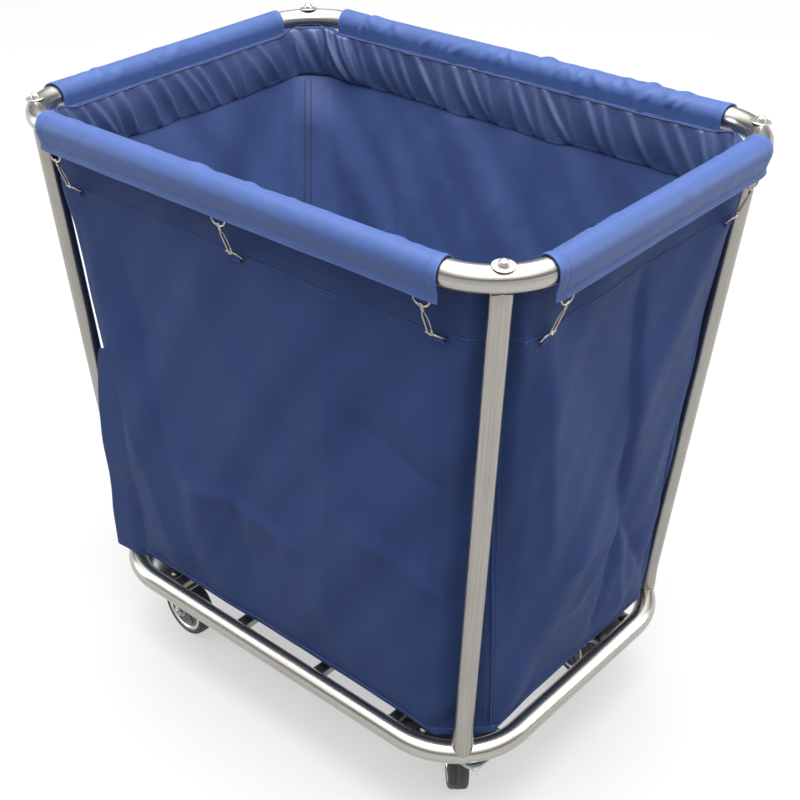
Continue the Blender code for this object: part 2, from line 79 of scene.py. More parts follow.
# The bag's walls: where the top seam and the foot lie, and how finely they are meshed.
SEAM_Z = TOP_Z - 0.0135
FOOT_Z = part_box("bag_floor")[0].z
SEAM_INSET = RAIL_R + 0.0035
FOOT_HALF_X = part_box("bag_floor")[1].x + 0.0036
FOOT_HALF_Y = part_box("bag_floor")[1].y + 0.0036
SEAM_CHAMFER = 0.041
FOOT_CHAMFER = 0.054
LONG_COLUMNS = 48
SHORT_COLUMNS = 32
CORNER_COLUMNS = 4
CORNER_RISE = 0.0065
FOOT_DROOP = 0.0070
FOOT_RIPPLE = 0.0014
LEG_GAP = 0.0022
COLUMN_STEP = 0.0066  # run round the refined wall from one column to the next
WALL_ROWS = 48
CLOTH_T = 0.0012
BAND_Z = SEAM_Z - 0.071
OUTER_SEAM_Z = SEAM_Z - 0.077

# The flaps over the top rail.
FLAP_R = RAIL_R + 0.0020
FLAP_DROP = 0.0270
FLAP_TUCK = math.radians(16.0)
FLAP_ENDS = {"right": 0.222, "left": 0.222, "front": 0.338, "back": 0.338}
HEM_WIDTH = 0.011
HEM_FLARE = 0.0030

# Snap hooks and rings.
WIRE_R = 0.0013
HOOK_LENGTH = 0.049
HOOK_BEND_R = 0.0036
EYE_R = 0.0029
BEAD_R = 0.0016
GATE_WIRE_R = 0.00085
HOOK_TILT = math.radians(22.0)
RING_HALF_W = 0.0125
RING_HEIGHT = 0.0165

# Casters, in their own frame: the swivel axis is Z and the wheel trails towards +X.
TRAIL = 0.038
TYRE_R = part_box("caster_tyre_near_left")[1].z / 2
TYRE_INNER_R = 0.0410
TYRE_HALF_W = 0.015
CASTER_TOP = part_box("caster_plate_near_left")[1].z
PLATE_T = 0.003
CROWN_TOP = CASTER_TOP - PLATE_T - 0.0085
CROWN_R = 0.0305
FORK_INNER = 0.018
FORK_T = 0.0025
HOLE_SPACING = (0.080, 0.060)


# ---------------------------------------------------------------- camera, light and floor

CAMERA_PLACE = (1.1545, -1.3338, 1.5589)
CAMERA_YAW = 133.72
CAMERA_PITCH = -31.76
CAMERA_ROLL = -1.46
CAMERA_LENS = 63.1
CAMERA_SHIFT = (0.093, 0.0009)


def linked(name, data):
    """A new object of that data, in the scene."""
    made = bpy.data.objects.new(name, data)
    bpy.context.scene.collection.objects.link(made)
    return made


def make_camera():
    yaw, pitch, roll = (math.radians(a) for a in (CAMERA_YAW, CAMERA_PITCH, CAMERA_ROLL))
    ahead = Vector((math.cos(pitch) * math.cos(yaw), math.cos(pitch) * math.sin(yaw), math.sin(pitch)))
    level = ahead.cross(Vector((0, 0, 1))).normalized()
    upright = level.cross(ahead)
    right = math.cos(roll) * level + math.sin(roll) * upright
    up = -math.sin(roll) * level + math.cos(roll) * upright
    data = bpy.data.cameras.new("camera")
    data.lens = CAMERA_LENS
    data.shift_x, data.shift_y = CAMERA_SHIFT
    camera = linked("camera", data)
    turn = Matrix((right, up, -ahead)).transposed().to_4x4()
    camera.matrix_world = Matrix.Translation(CAMERA_PLACE) @ turn
    bpy.context.scene.camera = camera


def wire(tree, made, inputs):
    """Give a node its inputs, each a value or a socket to link from."""
    for key, value in inputs.items():
        if isinstance(value, bpy.types.NodeSocket):
            tree.links.new(value, made.inputs[key])
        else:
            made.inputs[key].default_value = value
    return made


def node(tree, kind, inputs=None, **settings):
    """A shader node with its settings and inputs."""
    made = tree.nodes.new(kind)
    for key, value in settings.items():
        setattr(made, key, value)
    return wire(tree, made, inputs or {})


# The sky by height: from and to as shares of the dome, then the strength at each.
SKY_DOME = (0.32, 0.78, 0.13, 3.2)
SKY_HORIZON = (0.05, 0.17, 0.85, 0.0)
SKY_COLOUR = (1.0, 0.995, 0.985, 1.0)


def make_world():
    """A studio dome: a pale band at the horizon, dim above it and bright overhead."""
    world = bpy.data.worlds.new("studio")
    bpy.context.scene.world = world
    world.use_nodes = True
    tree = world.node_tree
    place = node(tree, "ShaderNodeTexCoord")
    height = node(tree, "ShaderNodeSeparateXYZ", {0: place.outputs["Generated"]}).outputs["Z"]
    dome, horizon = (ranged(tree, height, *span, "SMOOTHSTEP") for span in (SKY_DOME, SKY_HORIZON))
    total = math_node(tree, "ADD", dome, horizon)
    wire(tree, tree.nodes["Background"], {"Color": SKY_COLOUR, "Strength": total})


# Soft boxes: place, target, size and watts.
LIGHTS = {
    "overhead": ((0.3, -0.3, 2.9), (0.0, 0.0, 0.8), (2.2, 2.2), 150.0),
    "rear_right": ((2.3, 2.3, 1.5), (0.4, 0.0, 0.5), (1.0, 1.6), 54.0),
    "near_left": ((-2.7, -1.6, 1.2), (0.0, -0.3, 0.5), (1.0, 1.6), 40.0),
}


def make_light(name, place, target, size, power):
    data = bpy.data.lights.new(name, "AREA")
    data.shape = "RECTANGLE"
    data.size, data.size_y = size
    data.energy = power
    light = linked(name, data)
    light.location = place
    light.rotation_euler = (Vector(target) - Vector(place)).to_track_quat("-Z", "Y").to_euler()


FLOOR_HALF = 9.0
FLOOR_SHADER = {
    "Base Color": (0.18, 0.18, 0.18, 1),
    "Roughness": 0.9,
    "Specular IOR Level": 0.1,
    "Emission Color": (1, 1, 1, 1),
    "Emission Strength": 0.51,
}


def make_floor():
    mesh = bpy.data.meshes.new("floor")
    corners = [(x * FLOOR_HALF, y * FLOOR_HALF, 0) for x, y in ((-1, -1), (1, -1), (1, 1), (-1, 1))]
    mesh.from_pydata(corners, [], [(0, 1, 2, 3)])
    material, tree, shader, _ = new_shader("floor")
    wire(tree, shader, FLOOR_SHADER)
    mesh.materials.append(material)
    linked("floor", mesh)


# ---------------------------------------------------------------- materials

def new_shader(name):
    """A material, its tree, its shader and its texture coordinates."""
    material = bpy.data.materials.new(name)
    material.use_nodes = True
    tree = material.node_tree
    return material, tree, tree.nodes["Principled BSDF"], node(tree, "ShaderNodeTexCoord").outputs


def mixed(tree, factor, first, second):
    """A colour between two: at factor 0 the first, at 1 the second."""
    return node(tree, "ShaderNodeMix", {0: factor, 6: first, 7: second}, data_type="RGBA").outputs[2]


def bumped(tree, height, strength, distance, **others):
    """A bump of that height in metres; others are more inputs."""
    inputs = {"Strength": strength, "Distance": distance, "Height": height, **others}
    return node(tree, "ShaderNodeBump", inputs).outputs[0]


def pointiness(tree):
    return node(tree, "ShaderNodeNewGeometry").outputs["Pointiness"]


def noise_at(tree, coords, scale, detail=3.0, roughness=0.55):
    """Noise over coordinates scaled by a number or by three numbers, from 0 to 1."""
    scales = scale if isinstance(scale, tuple) else (scale, scale, scale)
    mapping = node(tree, "ShaderNodeMapping", {"Vector": coords, "Scale": scales})
    inputs = {"Vector": mapping.outputs[0], "Scale": 1.0, "Detail": detail, "Roughness": roughness}
    return node(tree, "ShaderNodeTexNoise", inputs).outputs["Fac"]


def ranged(tree, value, low, high, to_low, to_high, kind="LINEAR"):
    inputs = {"Value": value, "From Min": low, "From Max": high, "To Min": to_low, "To Max": to_high}
    return node(tree, "ShaderNodeMapRange", inputs, interpolation_type=kind).outputs["Result"]


def math_node(tree, operation, first, second=0.0, third=0.5):
    inputs = {0: first, 1: second, 2: third}
    return node(tree, "ShaderNodeMath", inputs, operation=operation).outputs[0]


def shade(colour, factor):
    return tuple(c * factor for c in colour) + (1.0,)


def toned(tree, colour, mask, dark, light, layers):
    """A colour from dark to light by a mask, then layers of (mask, from, to, strength, shade) over it."""
    tone = mixed(tree, mask, shade(colour, dark), shade(colour, light))
    for cover, low, high, strength, other in layers:
        over = other if isinstance(other, tuple) else shade(colour, other)
        tone = mixed(tree, ranged(tree, cover, low, high, 0.0, strength), tone, over)
    return tone


def brushed_steel(name, colour, roughness, along_streaks=True):
    """Satin stainless tube: fine streaks along the tube, faint smudges and hairline scratches."""
    material, tree, shader, place = new_shader(name)
    streak_scale = (5.0, 650.0, 1.0) if along_streaks else (260.0, 260.0, 260.0)
    source = place["UV"] if along_streaks else place["Object"]
    streaks = noise_at(tree, source, streak_scale, 4.0)
    smudges = noise_at(tree, place["Object"], 9.0, 4.0)
    scratch = noise_at(tree, source, (38.0, 2200.0, 1.0) if along_streaks else (90.0, 700.0, 90.0), 2.0)
    layers = [(smudges, 0.45, 0.75, 0.5, 0.74), (scratch, 0.66, 0.74, 1.0, 1.22)]
    tone = toned(tree, colour, ranged(tree, streaks, 0.3, 0.7, 0.0, 1.0), 0.76, 1.12, layers)
    rough = math_node(tree, "MULTIPLY_ADD", streaks, 0.12, roughness - 0.06)
    rough = math_node(tree, "MULTIPLY_ADD", smudges, 0.16, rough)
    bump = bumped(tree, streaks, 0.12, 0.0002)
    wire(tree, shader, {"Base Color": tone, "Metallic": 1.0, "Roughness": rough, "Normal": bump})
    return material


def zinc_plate(name, colour, roughness):
    """Galvanised pressing: flat spangles, dull patches and scuffs at its edges."""
    material, tree, shader, place = new_shader(name)
    cells = node(tree, "ShaderNodeTexVoronoi", {"Vector": place["Object"], "Scale": 150.0})
    patches = noise_at(tree, place["Object"], 24.0, 5.0)
    edges = pointiness(tree)
    spangle = node(tree, "ShaderNodeSeparateColor", {0: cells.outputs["Color"]}).outputs[0]
    layers = [(patches, 0.45, 0.8, 0.6, 0.55), (edges, 0.52, 0.60, 0.6, 1.5)]
    tone = toned(tree, colour, spangle, 0.82, 1.15, layers)
    rough = ranged(tree, patches, 0.2, 0.8, roughness - 0.10, roughness + 0.16)
    bump = bumped(tree, patches, 0.2, 0.0003)
    wire(tree, shader, {"Base Color": tone, "Metallic": 0.92, "Roughness": rough, "Normal": bump})
    return material


DUST = (0.16, 0.155, 0.14, 1.0)


def moulded(name, colour, roughness, grain):
    """Rubber or nylon: a fine grain with a little dust and slightly worn edges."""
    material, tree, shader, place = new_shader(name)
    fine = noise_at(tree, place["Object"], grain, 3.0)
    soil = noise_at(tree, place["Object"], 38.0, 5.0)
    edges = pointiness(tree)
    layers = [(soil, 0.5, 0.85, 0.35, DUST), (edges, 0.52, 0.62, 0.3, 2.4)]
    tone = toned(tree, colour, fine, 0.8, 1.25, layers)
    rough = ranged(tree, soil, 0.3, 0.8, roughness - 0.05, roughness + 0.15)
    bump = bumped(tree, fine, 0.25, 0.0003)
    wire(tree, shader, {"Base Color": tone, "Roughness": rough, "Normal": bump})
    return material


THREAD = 0.0006  # pitch of the weave


def woven(name, colour, roughness, gloss=0.22, sheen=0.02, weave=0.35):
    """Coated plain-weave cloth: crossing threads, slubs, soft shade changes, and fold ridges and sharp edges
    painted paler as a painted highlight.
    """
    material, tree, shader, place = new_shader(name)
    split = node(tree, "ShaderNodeSeparateXYZ", {0: place["UV"]})
    turns = math.pi / THREAD
    warp = math_node(tree, "SINE", math_node(tree, "MULTIPLY", split.outputs["X"], turns))
    weft = math_node(tree, "SINE", math_node(tree, "MULTIPLY", split.outputs["Y"], turns))
    threads = math_node(tree, "MULTIPLY", warp, weft)
    slubs_down = noise_at(tree, place["UV"], (700.0, 9.0, 1.0), 2.0)
    slubs_across = noise_at(tree, place["UV"], (12.0, 800.0, 1.0), 2.0)
    broad = noise_at(tree, place["Object"], 5.0, 3.0)
    rumple = noise_at(tree, place["Object"], 42.0, 4.0)
    edges = pointiness(tree)
    slubs = math_node(tree, "ADD", slubs_down, slubs_across)
    # edges: pointiness paints fold ridges, hems and sharp edges paler, a painted highlight
    layers = [(broad, 0.4, 0.7, 0.5, 0.82), (rumple, 0.45, 0.8, 0.3, 1.25), (edges, 0.515, 0.58, 0.4, 1.9)]
    tone = toned(tree, colour, ranged(tree, slubs, 0.6, 1.4, 0.0, 1.0), 0.88, 1.12, layers)
    height = math_node(tree, "MULTIPLY_ADD", slubs, 0.9, threads)
    fine = bumped(tree, height, weave, 0.00012)
    looks = {
        "Base Color": tone,
        "Roughness": ranged(tree, rumple, 0.3, 0.8, roughness - 0.06, roughness + 0.10),
        "Specular IOR Level": gloss,
        "Sheen Weight": sheen,
        "Sheen Roughness": 0.45,
        "Sheen Tint": (0.55, 0.70, 1.0, 1.0),
        "Normal": bumped(tree, rumple, 0.30, 0.0012, Normal=fine),
    }
    wire(tree, shader, looks)
    return material


NAVY = (0.0170, 0.0310, 0.0920)
STEEL = (0.42, 0.405, 0.38)

MATERIALS = {
    "rail": brushed_steel("stainless_rail", STEEL, 0.20),
    # legs and cross bars: the rail's stainless painted darker, painted shade for the dark bag and dim
    # surroundings that the tubes reflect
    "leg": brushed_steel("stainless_leg", (0.355, 0.335, 0.31), 0.21),
    "bolt": brushed_steel("bolt_steel", (0.46, 0.45, 0.43), 0.28, along_streaks=False),
    "zinc": zinc_plate("zinc_plate", (0.30, 0.335, 0.345), 0.36),
    "washer": zinc_plate("dark_washer", (0.10, 0.10, 0.105), 0.42),
    "rubber": moulded("tyre_rubber", (0.014, 0.014, 0.016), 0.52, 900.0),
    "centre": moulded("wheel_centre", (0.055, 0.068, 0.062), 0.40, 600.0),
    "rim": brushed_steel("wheel_rim", (0.62, 0.63, 0.64), 0.18, along_streaks=False),
    "chrome": brushed_steel("hook_chrome", (0.36, 0.33, 0.30), 0.26, along_streaks=False),
    "canvas": woven("canvas", NAVY, 0.52, gloss=0.04, sheen=0.004),
    # faces inside the bag: lighter than the navy outside, partly the cloth's other face and partly painted
    # light for the light falling into the bag
    "inner_face_and_painted_light": woven("canvas_inner_face_and_painted_light", (0.030, 0.053, 0.152), 0.50, gloss=0.48, sheen=0.06),
    # facing band: the navy canvas painted a little lighter, painted light for the light falling into the
    # mouth of the bag
    "facing": woven("facing_canvas", (0.0200, 0.0360, 0.1020), 0.50, gloss=0.45, sheen=0.05),
    # flap cloth: the navy canvas painted lighter, painted light for the light that falls on the flaps' tops;
    # the upper ring tabs take it too
    "flap": woven("flap_canvas", (0.026, 0.051, 0.150), 0.46, gloss=0.18, sheen=0.03),
    "piping": woven("piping_cloth", (0.035, 0.037, 0.075), 0.60, gloss=0.1),
    "thread": woven("thread", (0.030, 0.050, 0.135), 0.60, gloss=0.1),
}


# ---------------------------------------------------------------- mesh tools

def run_lengths(points, closed):
    """Mean distance run along the first axis of a grid of points, from 0."""
    rows = np.concatenate([points, points[:1]]) if closed else points
    steps = np.linalg.norm(np.diff(rows, axis=0), axis=2).mean(1)
    return np.concatenate([[0.0], np.cumsum(steps)])


def grid_piece(name, points, material, closed_i=False, closed_j=False, cap=False, sharp=40.0):
    """A piece from a grid of points, with a UV map in metres; cap fills its first and last rows."""
    points = np.asarray(points, float)
    rows, columns = points.shape[:2]
    index = np.arange(rows * columns).reshape(rows, columns)
    last_i = rows if closed_i else rows - 1
    last_j = columns if closed_j else columns - 1
    i, j = (a.ravel() for a in np.meshgrid(np.arange(last_i), np.arange(last_j), indexing="ij"))
    next_i, next_j = (i + 1) % rows, (j + 1) % columns
    faces = np.stack([index[i, j], index[next_i, j], index[next_i, next_j], index[i, next_j]], 1).tolist()
    u = run_lengths(points, closed_i)
    v = run_lengths(points.swapaxes(0, 1), closed_j)
    corners = [(u[i], v[j]), (u[i + 1], v[j]), (u[i + 1], v[j + 1]), (u[i], v[j + 1])]
    uvs = np.stack([np.stack(c, 1) for c in corners], 1).reshape(-1, 2)
    if cap:
        for row in (0, rows - 1):
            faces.append(index[row].tolist())
            uvs = np.concatenate([uvs, points[row][:, :2]])
    mesh = bpy.data.meshes.new(name)
    mesh.from_pydata(points.reshape(-1, 3).tolist(), [], faces)
    layer = mesh.uv_layers.new(name="UVMap")
    layer.data.foreach_set("uv", uvs.astype(np.float32).ravel())
    bm = bmesh.new()
    bm.from_mesh(mesh)
    bmesh.ops.remove_doubles(bm, verts=bm.verts, dist=1e-6)
    bmesh.ops.dissolve_degenerate(bm, edges=bm.edges, dist=1e-7)
    bmesh.ops.recalc_face_normals(bm, faces=bm.faces)
    bm.to_mesh(mesh)
    bm.free()
    mesh.shade_smooth()
    mesh.set_sharp_from_angle(angle=math.radians(sharp))
    mesh.materials.append(MATERIALS[material])
    return linked(name, mesh)


def joined(name, pieces):
    """Several pieces as one object."""
    bpy.context.view_layer.update()
    bpy.ops.object.select_all(action="DESELECT")
    for piece in pieces:
        piece.select_set(True)
    bpy.context.view_layer.objects.active = pieces[0]
    if len(pieces) > 1:
        bpy.ops.object.join()
    pieces[0].name = name
    pieces[0].data.name = name
    return pieces[0]


def placed(piece, matrix):
    """Move a piece's mesh by a matrix, so that its own origin stays at the world's."""
    piece.data.transform(matrix)
    return piece


def fit(piece, body, slot, *nodes):
    """Ride a body and stand for CAD nodes; the slot is not used."""
    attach(piece, body)
    if nodes:
        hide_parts(*nodes)
    return piece


def unit(vectors):
    return vectors / np.linalg.norm(vectors, axis=-1, keepdims=True)


def tube(name, path, radius, material, sides=16, closed=False, flatten=1.0):
    """A round wire or tube along a path, with rounded ends when it is open."""
    path = np.asarray(path, float)
    radii = np.broadcast_to(np.asarray(radius, float), (len(path),)).copy()
    if closed:
        tangents = unit(np.roll(path, -1, 0) - np.roll(path, 1, 0))
    else:
        lead = unit(path[1] - path[0])
        tail = unit(path[-1] - path[-2])
        angles = np.radians((90.0, 65.0, 35.0))
        starts = [path[0] - lead * radii[0] * math.sin(a) for a in angles]
        ends = [path[-1] + tail * radii[-1] * math.sin(a) for a in angles[::-1]]
        path = np.concatenate([starts, path, ends])
        shrink = np.maximum(np.cos(angles), 0.02)
        radii = np.concatenate([radii[0] * shrink, radii, radii[-1] * shrink[::-1]])
        tangents = unit(np.gradient(path, axis=0))
    guide = np.array((0.0, 0.0, 1.0)) if abs(tangents[0][2]) < 0.9 else np.array((1.0, 0.0, 0.0))
    normals = []
    for tangent in tangents:
        guide = unit(guide - (guide @ tangent) * tangent)
        normals.append(guide)
    normals = np.array(normals)
    sideways = np.cross(tangents, normals)
    angles = np.arange(sides) * 2 * math.pi / sides
    ring = normals[:, None] * np.cos(angles)[None, :, None]
    ring = ring + flatten * sideways[:, None] * np.sin(angles)[None, :, None]
    points = path[:, None] + radii[:, None, None] * ring
    return grid_piece(name, points, material, closed_i=closed, closed_j=True, cap=not closed, sharp=60.0)


def turned(name, profile, material, steps=48, closed=False, sharp=35.0):
    """A solid of revolution about Z from (radius, z) points."""
    profile = np.asarray(profile, float)
    angles = np.arange(steps) * 2 * math.pi / steps
    radius, height = profile[:, 0], profile[:, 1]
    points = np.stack(
        [
            np.cos(angles)[:, None] * radius[None],
            np.sin(angles)[:, None] * radius[None],
            np.broadcast_to(height, (steps, len(profile))),
        ],
        2,
    )
    return grid_piece(name, points, material, closed_i=True, closed_j=closed, sharp=sharp)


def rounded_outline(half_x, half_y, corner, steps=8):
    """A rounded rectangle as (points, 2), anticlockwise from its +X side."""
    points = []
    for quarter, (side_x, side_y) in enumerate(((1, 1), (-1, 1), (-1, -1), (1, -1))):
        centre = np.array((side_x * (half_x - corner), side_y * (half_y - corner)))
        for step in range(steps + 1):
            angle = math.pi / 2 * (quarter + step / steps)
            points.append(centre + corner * np.array((math.cos(angle), math.sin(angle))))
    return np.array(points)


def inset(outline, depth):
    """A closed anticlockwise outline moved inwards."""
    along = unit(np.roll(outline, -1, 0) - np.roll(outline, 1, 0))
    return outline + depth * np.stack([-along[:, 1], along[:, 0]], 1)


def slab(name, outline, low, high, material, edge=0.0006):
    """A plate of any outline with eased edges."""
    levels = [(edge, low), (edge * 0.3, low + edge * 0.3), (0.0, low + edge)]
    levels += [(0.0, high - edge), (edge * 0.3, high - edge * 0.3), (edge, high)]
    rings = []
    for depth, z in levels:
        ring = inset(np.asarray(outline, float), depth)
        rings.append(np.column_stack([ring, np.full(len(ring), z)]))
    return grid_piece(name, rings, material, closed_j=True, cap=True, sharp=50.0)


def smooth(t):
    t = np.clip(t, 0.0, 1.0)
    return t * t * (3 - 2 * t)


def bell(distance, width):
    return np.exp(-(distance / width) ** 2)


def mirrored(profile):
    """(radius, z) points followed by their mirror image, back to the start."""
    return profile + [(radius, -z) for radius, z in reversed(profile)]


def raised(profile, by):
    """(radius, z) points moved along Z."""
    return [(radius, z + by) for radius, z in profile]


def waves(values, rng, count, longest, shortest):
    """A smooth random curve over values, about -1 to 1, made of sines of random phase."""
    total = np.zeros_like(values)
    for k in range(count):
        length = longest * (shortest / longest) ** (k / max(count - 1, 1))
        weight = (length / longest) ** 0.6
        total += weight * np.sin(2 * math.pi * values / length + rng.uniform(0, 2 * math.pi))
    return total / math.sqrt(count)


# ---------------------------------------------------------------- steel frame

RAIL_SIDES = 48


def ring_path(ring, spacing=0.02, arc_steps=24):
    """Closed centreline of a rail with even points on its straights and bends."""
    half_x, half_y, corner, z = ring
    bends = rounded_outline(half_x, half_y, corner, arc_steps)
    path = []
    for quarter in range(4):
        arc = bends[quarter * (arc_steps + 1):(quarter + 1) * (arc_steps + 1)]
        after = bends[((quarter + 1) * (arc_steps + 1)) % len(bends)]
        steps = max(2, int(np.linalg.norm(after - arc[-1]) / spacing))
        path += list(arc)
        path += [arc[-1] + (after - arc[-1]) * k / steps for k in range(1, steps)]
    path = np.array(path)
    return np.column_stack([path, np.full(len(path), z)])


def rail_distance(points, ring):
    """Distance of points from a rail's centreline."""
    half_x, half_y, corner, z = ring
    reach = np.abs(points[..., :2]) - np.array((half_x - corner, half_y - corner))
    outside = np.linalg.norm(np.maximum(reach, 0.0), axis=-1)
    flat = outside + np.minimum(np.maximum(reach[..., 0], reach[..., 1]), 0.0) - corner
    return np.hypot(flat, points[..., 2] - z)


def cope(starts, direction, ring, gap):
    """How far rays from the start points run before they meet a rail."""
    travel = np.zeros(len(starts))
    for _ in range(300):
        travel += rail_distance(starts + travel[:, None] * direction, ring) - RAIL_R - gap
    return travel


DIAGONAL = math.sqrt(0.5)


def corner_point(side_x, side_y, ring):
    """The middle of a rail's bend."""
    half_x, half_y, corner, z = ring
    short = corner * (1 - DIAGONAL)
    return np.array((side_x * (half_x - short), side_y * (half_y - short), z))


def make_rails():
    top = tube("top_rail_tube", ring_path(TOP_RING), RAIL_R, "rail", RAIL_SIDES, closed=True)
    fit(top, "frame", "stainless_rail", "top_rail")
    base = tube("bottom_rail_tube", ring_path(BASE_RING), RAIL_R, "rail", RAIL_SIDES, closed=True)
    fit(base, "frame", "stainless_rail", "bottom_rail")


BORE_DEPTH = 0.006  # how far a tube's open end is hollow


def coped_tube(name, start, end, radius_at, rings, gaps, material, sides=40, rows=60):
    """A tube between two rails with saddle ends; radius_at gives its radius along its run."""
    axis = unit(end - start)
    guide = unit(np.cross(axis, (0.3, 0.9, 0.1)))
    across = np.cross(axis, guide)
    angles = np.arange(sides) * 2 * math.pi / sides
    spokes = np.cos(angles)[:, None] * guide + np.sin(angles)[:, None] * across
    length = np.linalg.norm(end - start)
    middle = start + axis * length / 2
    foot = middle + spokes * radius_at(0.0)
    head = middle + spokes * radius_at(length)
    low = length / 2 - cope(foot, -axis, rings[0], gaps[0])
    high = length / 2 + cope(head, axis, rings[1], gaps[1])
    lip = TUBE_WALL / 3
    grid = []
    shares = np.linspace(0.0, 1.0, rows) ** 1.6
    for share in shares:
        run = low + lip + (high - low - 2 * lip) * share
        radii = np.array([radius_at(r) for r in run])
        grid.append(start + run[:, None] * axis + radii[:, None] * spokes)
    for back, deep in ((0.3 * lip, 0.3 * lip), (0.0, lip), (0.0, TUBE_WALL), (BORE_DEPTH, TUBE_WALL)):
        grid.append(start + (high - back)[:, None] * axis + (radius_at(length) - deep) * spokes)
    foot_ring = start + low[:, None] * axis + (radius_at(0.0) - lip) * spokes
    return grid_piece(name, [foot_ring] + grid, material, closed_j=True, cap=True, sharp=50.0)


def leg_radius(run):
    return LEG_R + (FOOT_R - LEG_R) * float(smooth((FOOT_HEIGHT + 0.012 - run) / FOOT_HEIGHT))


def make_legs():
    for corner, (side_x, side_y) in CORNERS.items():
        foot = corner_point(side_x, side_y, BASE_RING)
        head = corner_point(side_x, side_y, TOP_RING)
        leg = coped_tube(
            f"leg_tube_{corner}", foot, head, leg_radius, (BASE_RING, TOP_RING), (0.0, 0.0009), "leg"
        )
        fit(leg, "frame", "stainless_leg", f"leg_{corner}")


def make_cross_bars():
    for number in range(1, 5):
        low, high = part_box(f"cross_bar_{number}")
        middle = (low + high) / 2
        start = np.array((middle.x, -BASE_HALF_Y, middle.z))
        end = np.array((middle.x, BASE_HALF_Y, middle.z))
        bar = coped_tube(
            f"cross_tube_{number}", start, end, lambda run: BAR_R, (BASE_RING,) * 2, (0.0, 0.0), "leg", 32
        )
        fit(bar, "frame", "stainless_leg", f"cross_bar_{number}")


WASHER_R = 0.0136
WASHER_T = 0.0016
DOME_R = 0.0062
DOME_HEIGHT = 0.0066
SHANK_R = 0.0035


def dome_profile(radius, height, base, steps=8):
    """(radius, z) points of a domed head down to its foot."""
    angles = [math.pi / 2 * k / steps for k in range(steps + 1)]
    return [(radius * math.sin(a), base + height * math.cos(a)) for a in angles]


def make_corner_bolts():
    """A domed bolt and a broad washer on each corner of the top rail, in line with the leg."""
    for corner, (side_x, side_y) in CORNERS.items():
        foot = Vector(corner_point(side_x, side_y, BASE_RING))
        head = Vector(corner_point(side_x, side_y, TOP_RING))
        along = (head - foot).normalized()
        upright = along.to_track_quat("Z", "Y").to_matrix().to_4x4()
        seat = Matrix.Translation(head + along * (RAIL_R - 0.0004)) @ upright
        ease = 0.0005
        washer = [(0.003, WASHER_T), (WASHER_R - ease, WASHER_T), (WASHER_R, WASHER_T - ease)]
        washer += [(WASHER_R, ease), (WASHER_R - ease, 0.0), (0.003, 0.0)]
        pieces = [turned("washer", washer, "bolt", closed=True)]
        dome = dome_profile(DOME_R, DOME_HEIGHT, WASHER_T + 0.0010)
        under = WASHER_T + 0.0001
        dome += [(DOME_R, under), (SHANK_R, under), (SHANK_R, -0.004), (0.0, -0.004)]
        pieces.append(turned("dome", dome, "bolt"))
        bolt = placed(joined(f"top_bolt_{corner}", pieces), seat)
        fit(bolt, "frame", "bolt_steel", f"corner_bolt_{corner}")


# ---------------------------------------------------------------- casters

def hex_outline(across, steps=3):
    """A hexagon with slightly eased corners."""
    points = []
    for k in range(6):
        middle = math.pi / 3 * k
        for step in range(steps):
            angle = middle + math.radians(3.0) * (step - (steps - 1) / 2)
            points.append((math.cos(angle), math.sin(angle)))
    return across / math.sqrt(3) * np.array(points)


# Profiles as (radius, z): the raceway under the plate and over the crown, and the kingpin's nut.
RACE_UPPER = [(0.0, -0.0002), (0.0245, -0.0002), (0.0262, -0.0010), (0.0285, -0.0040), (0.0290, -0.0052)]
RACE_LOWER = [(0.0290, 0.0012), (0.0284, 0.0006), (0.0, 0.0006)]
STEM_NUT = [(0.0068, 0.0034), (0.0105, 0.0032), (0.0110, 0.0024), (0.0104, 0.0006), (0.0085, 0.0), (0.0, 0.0)]


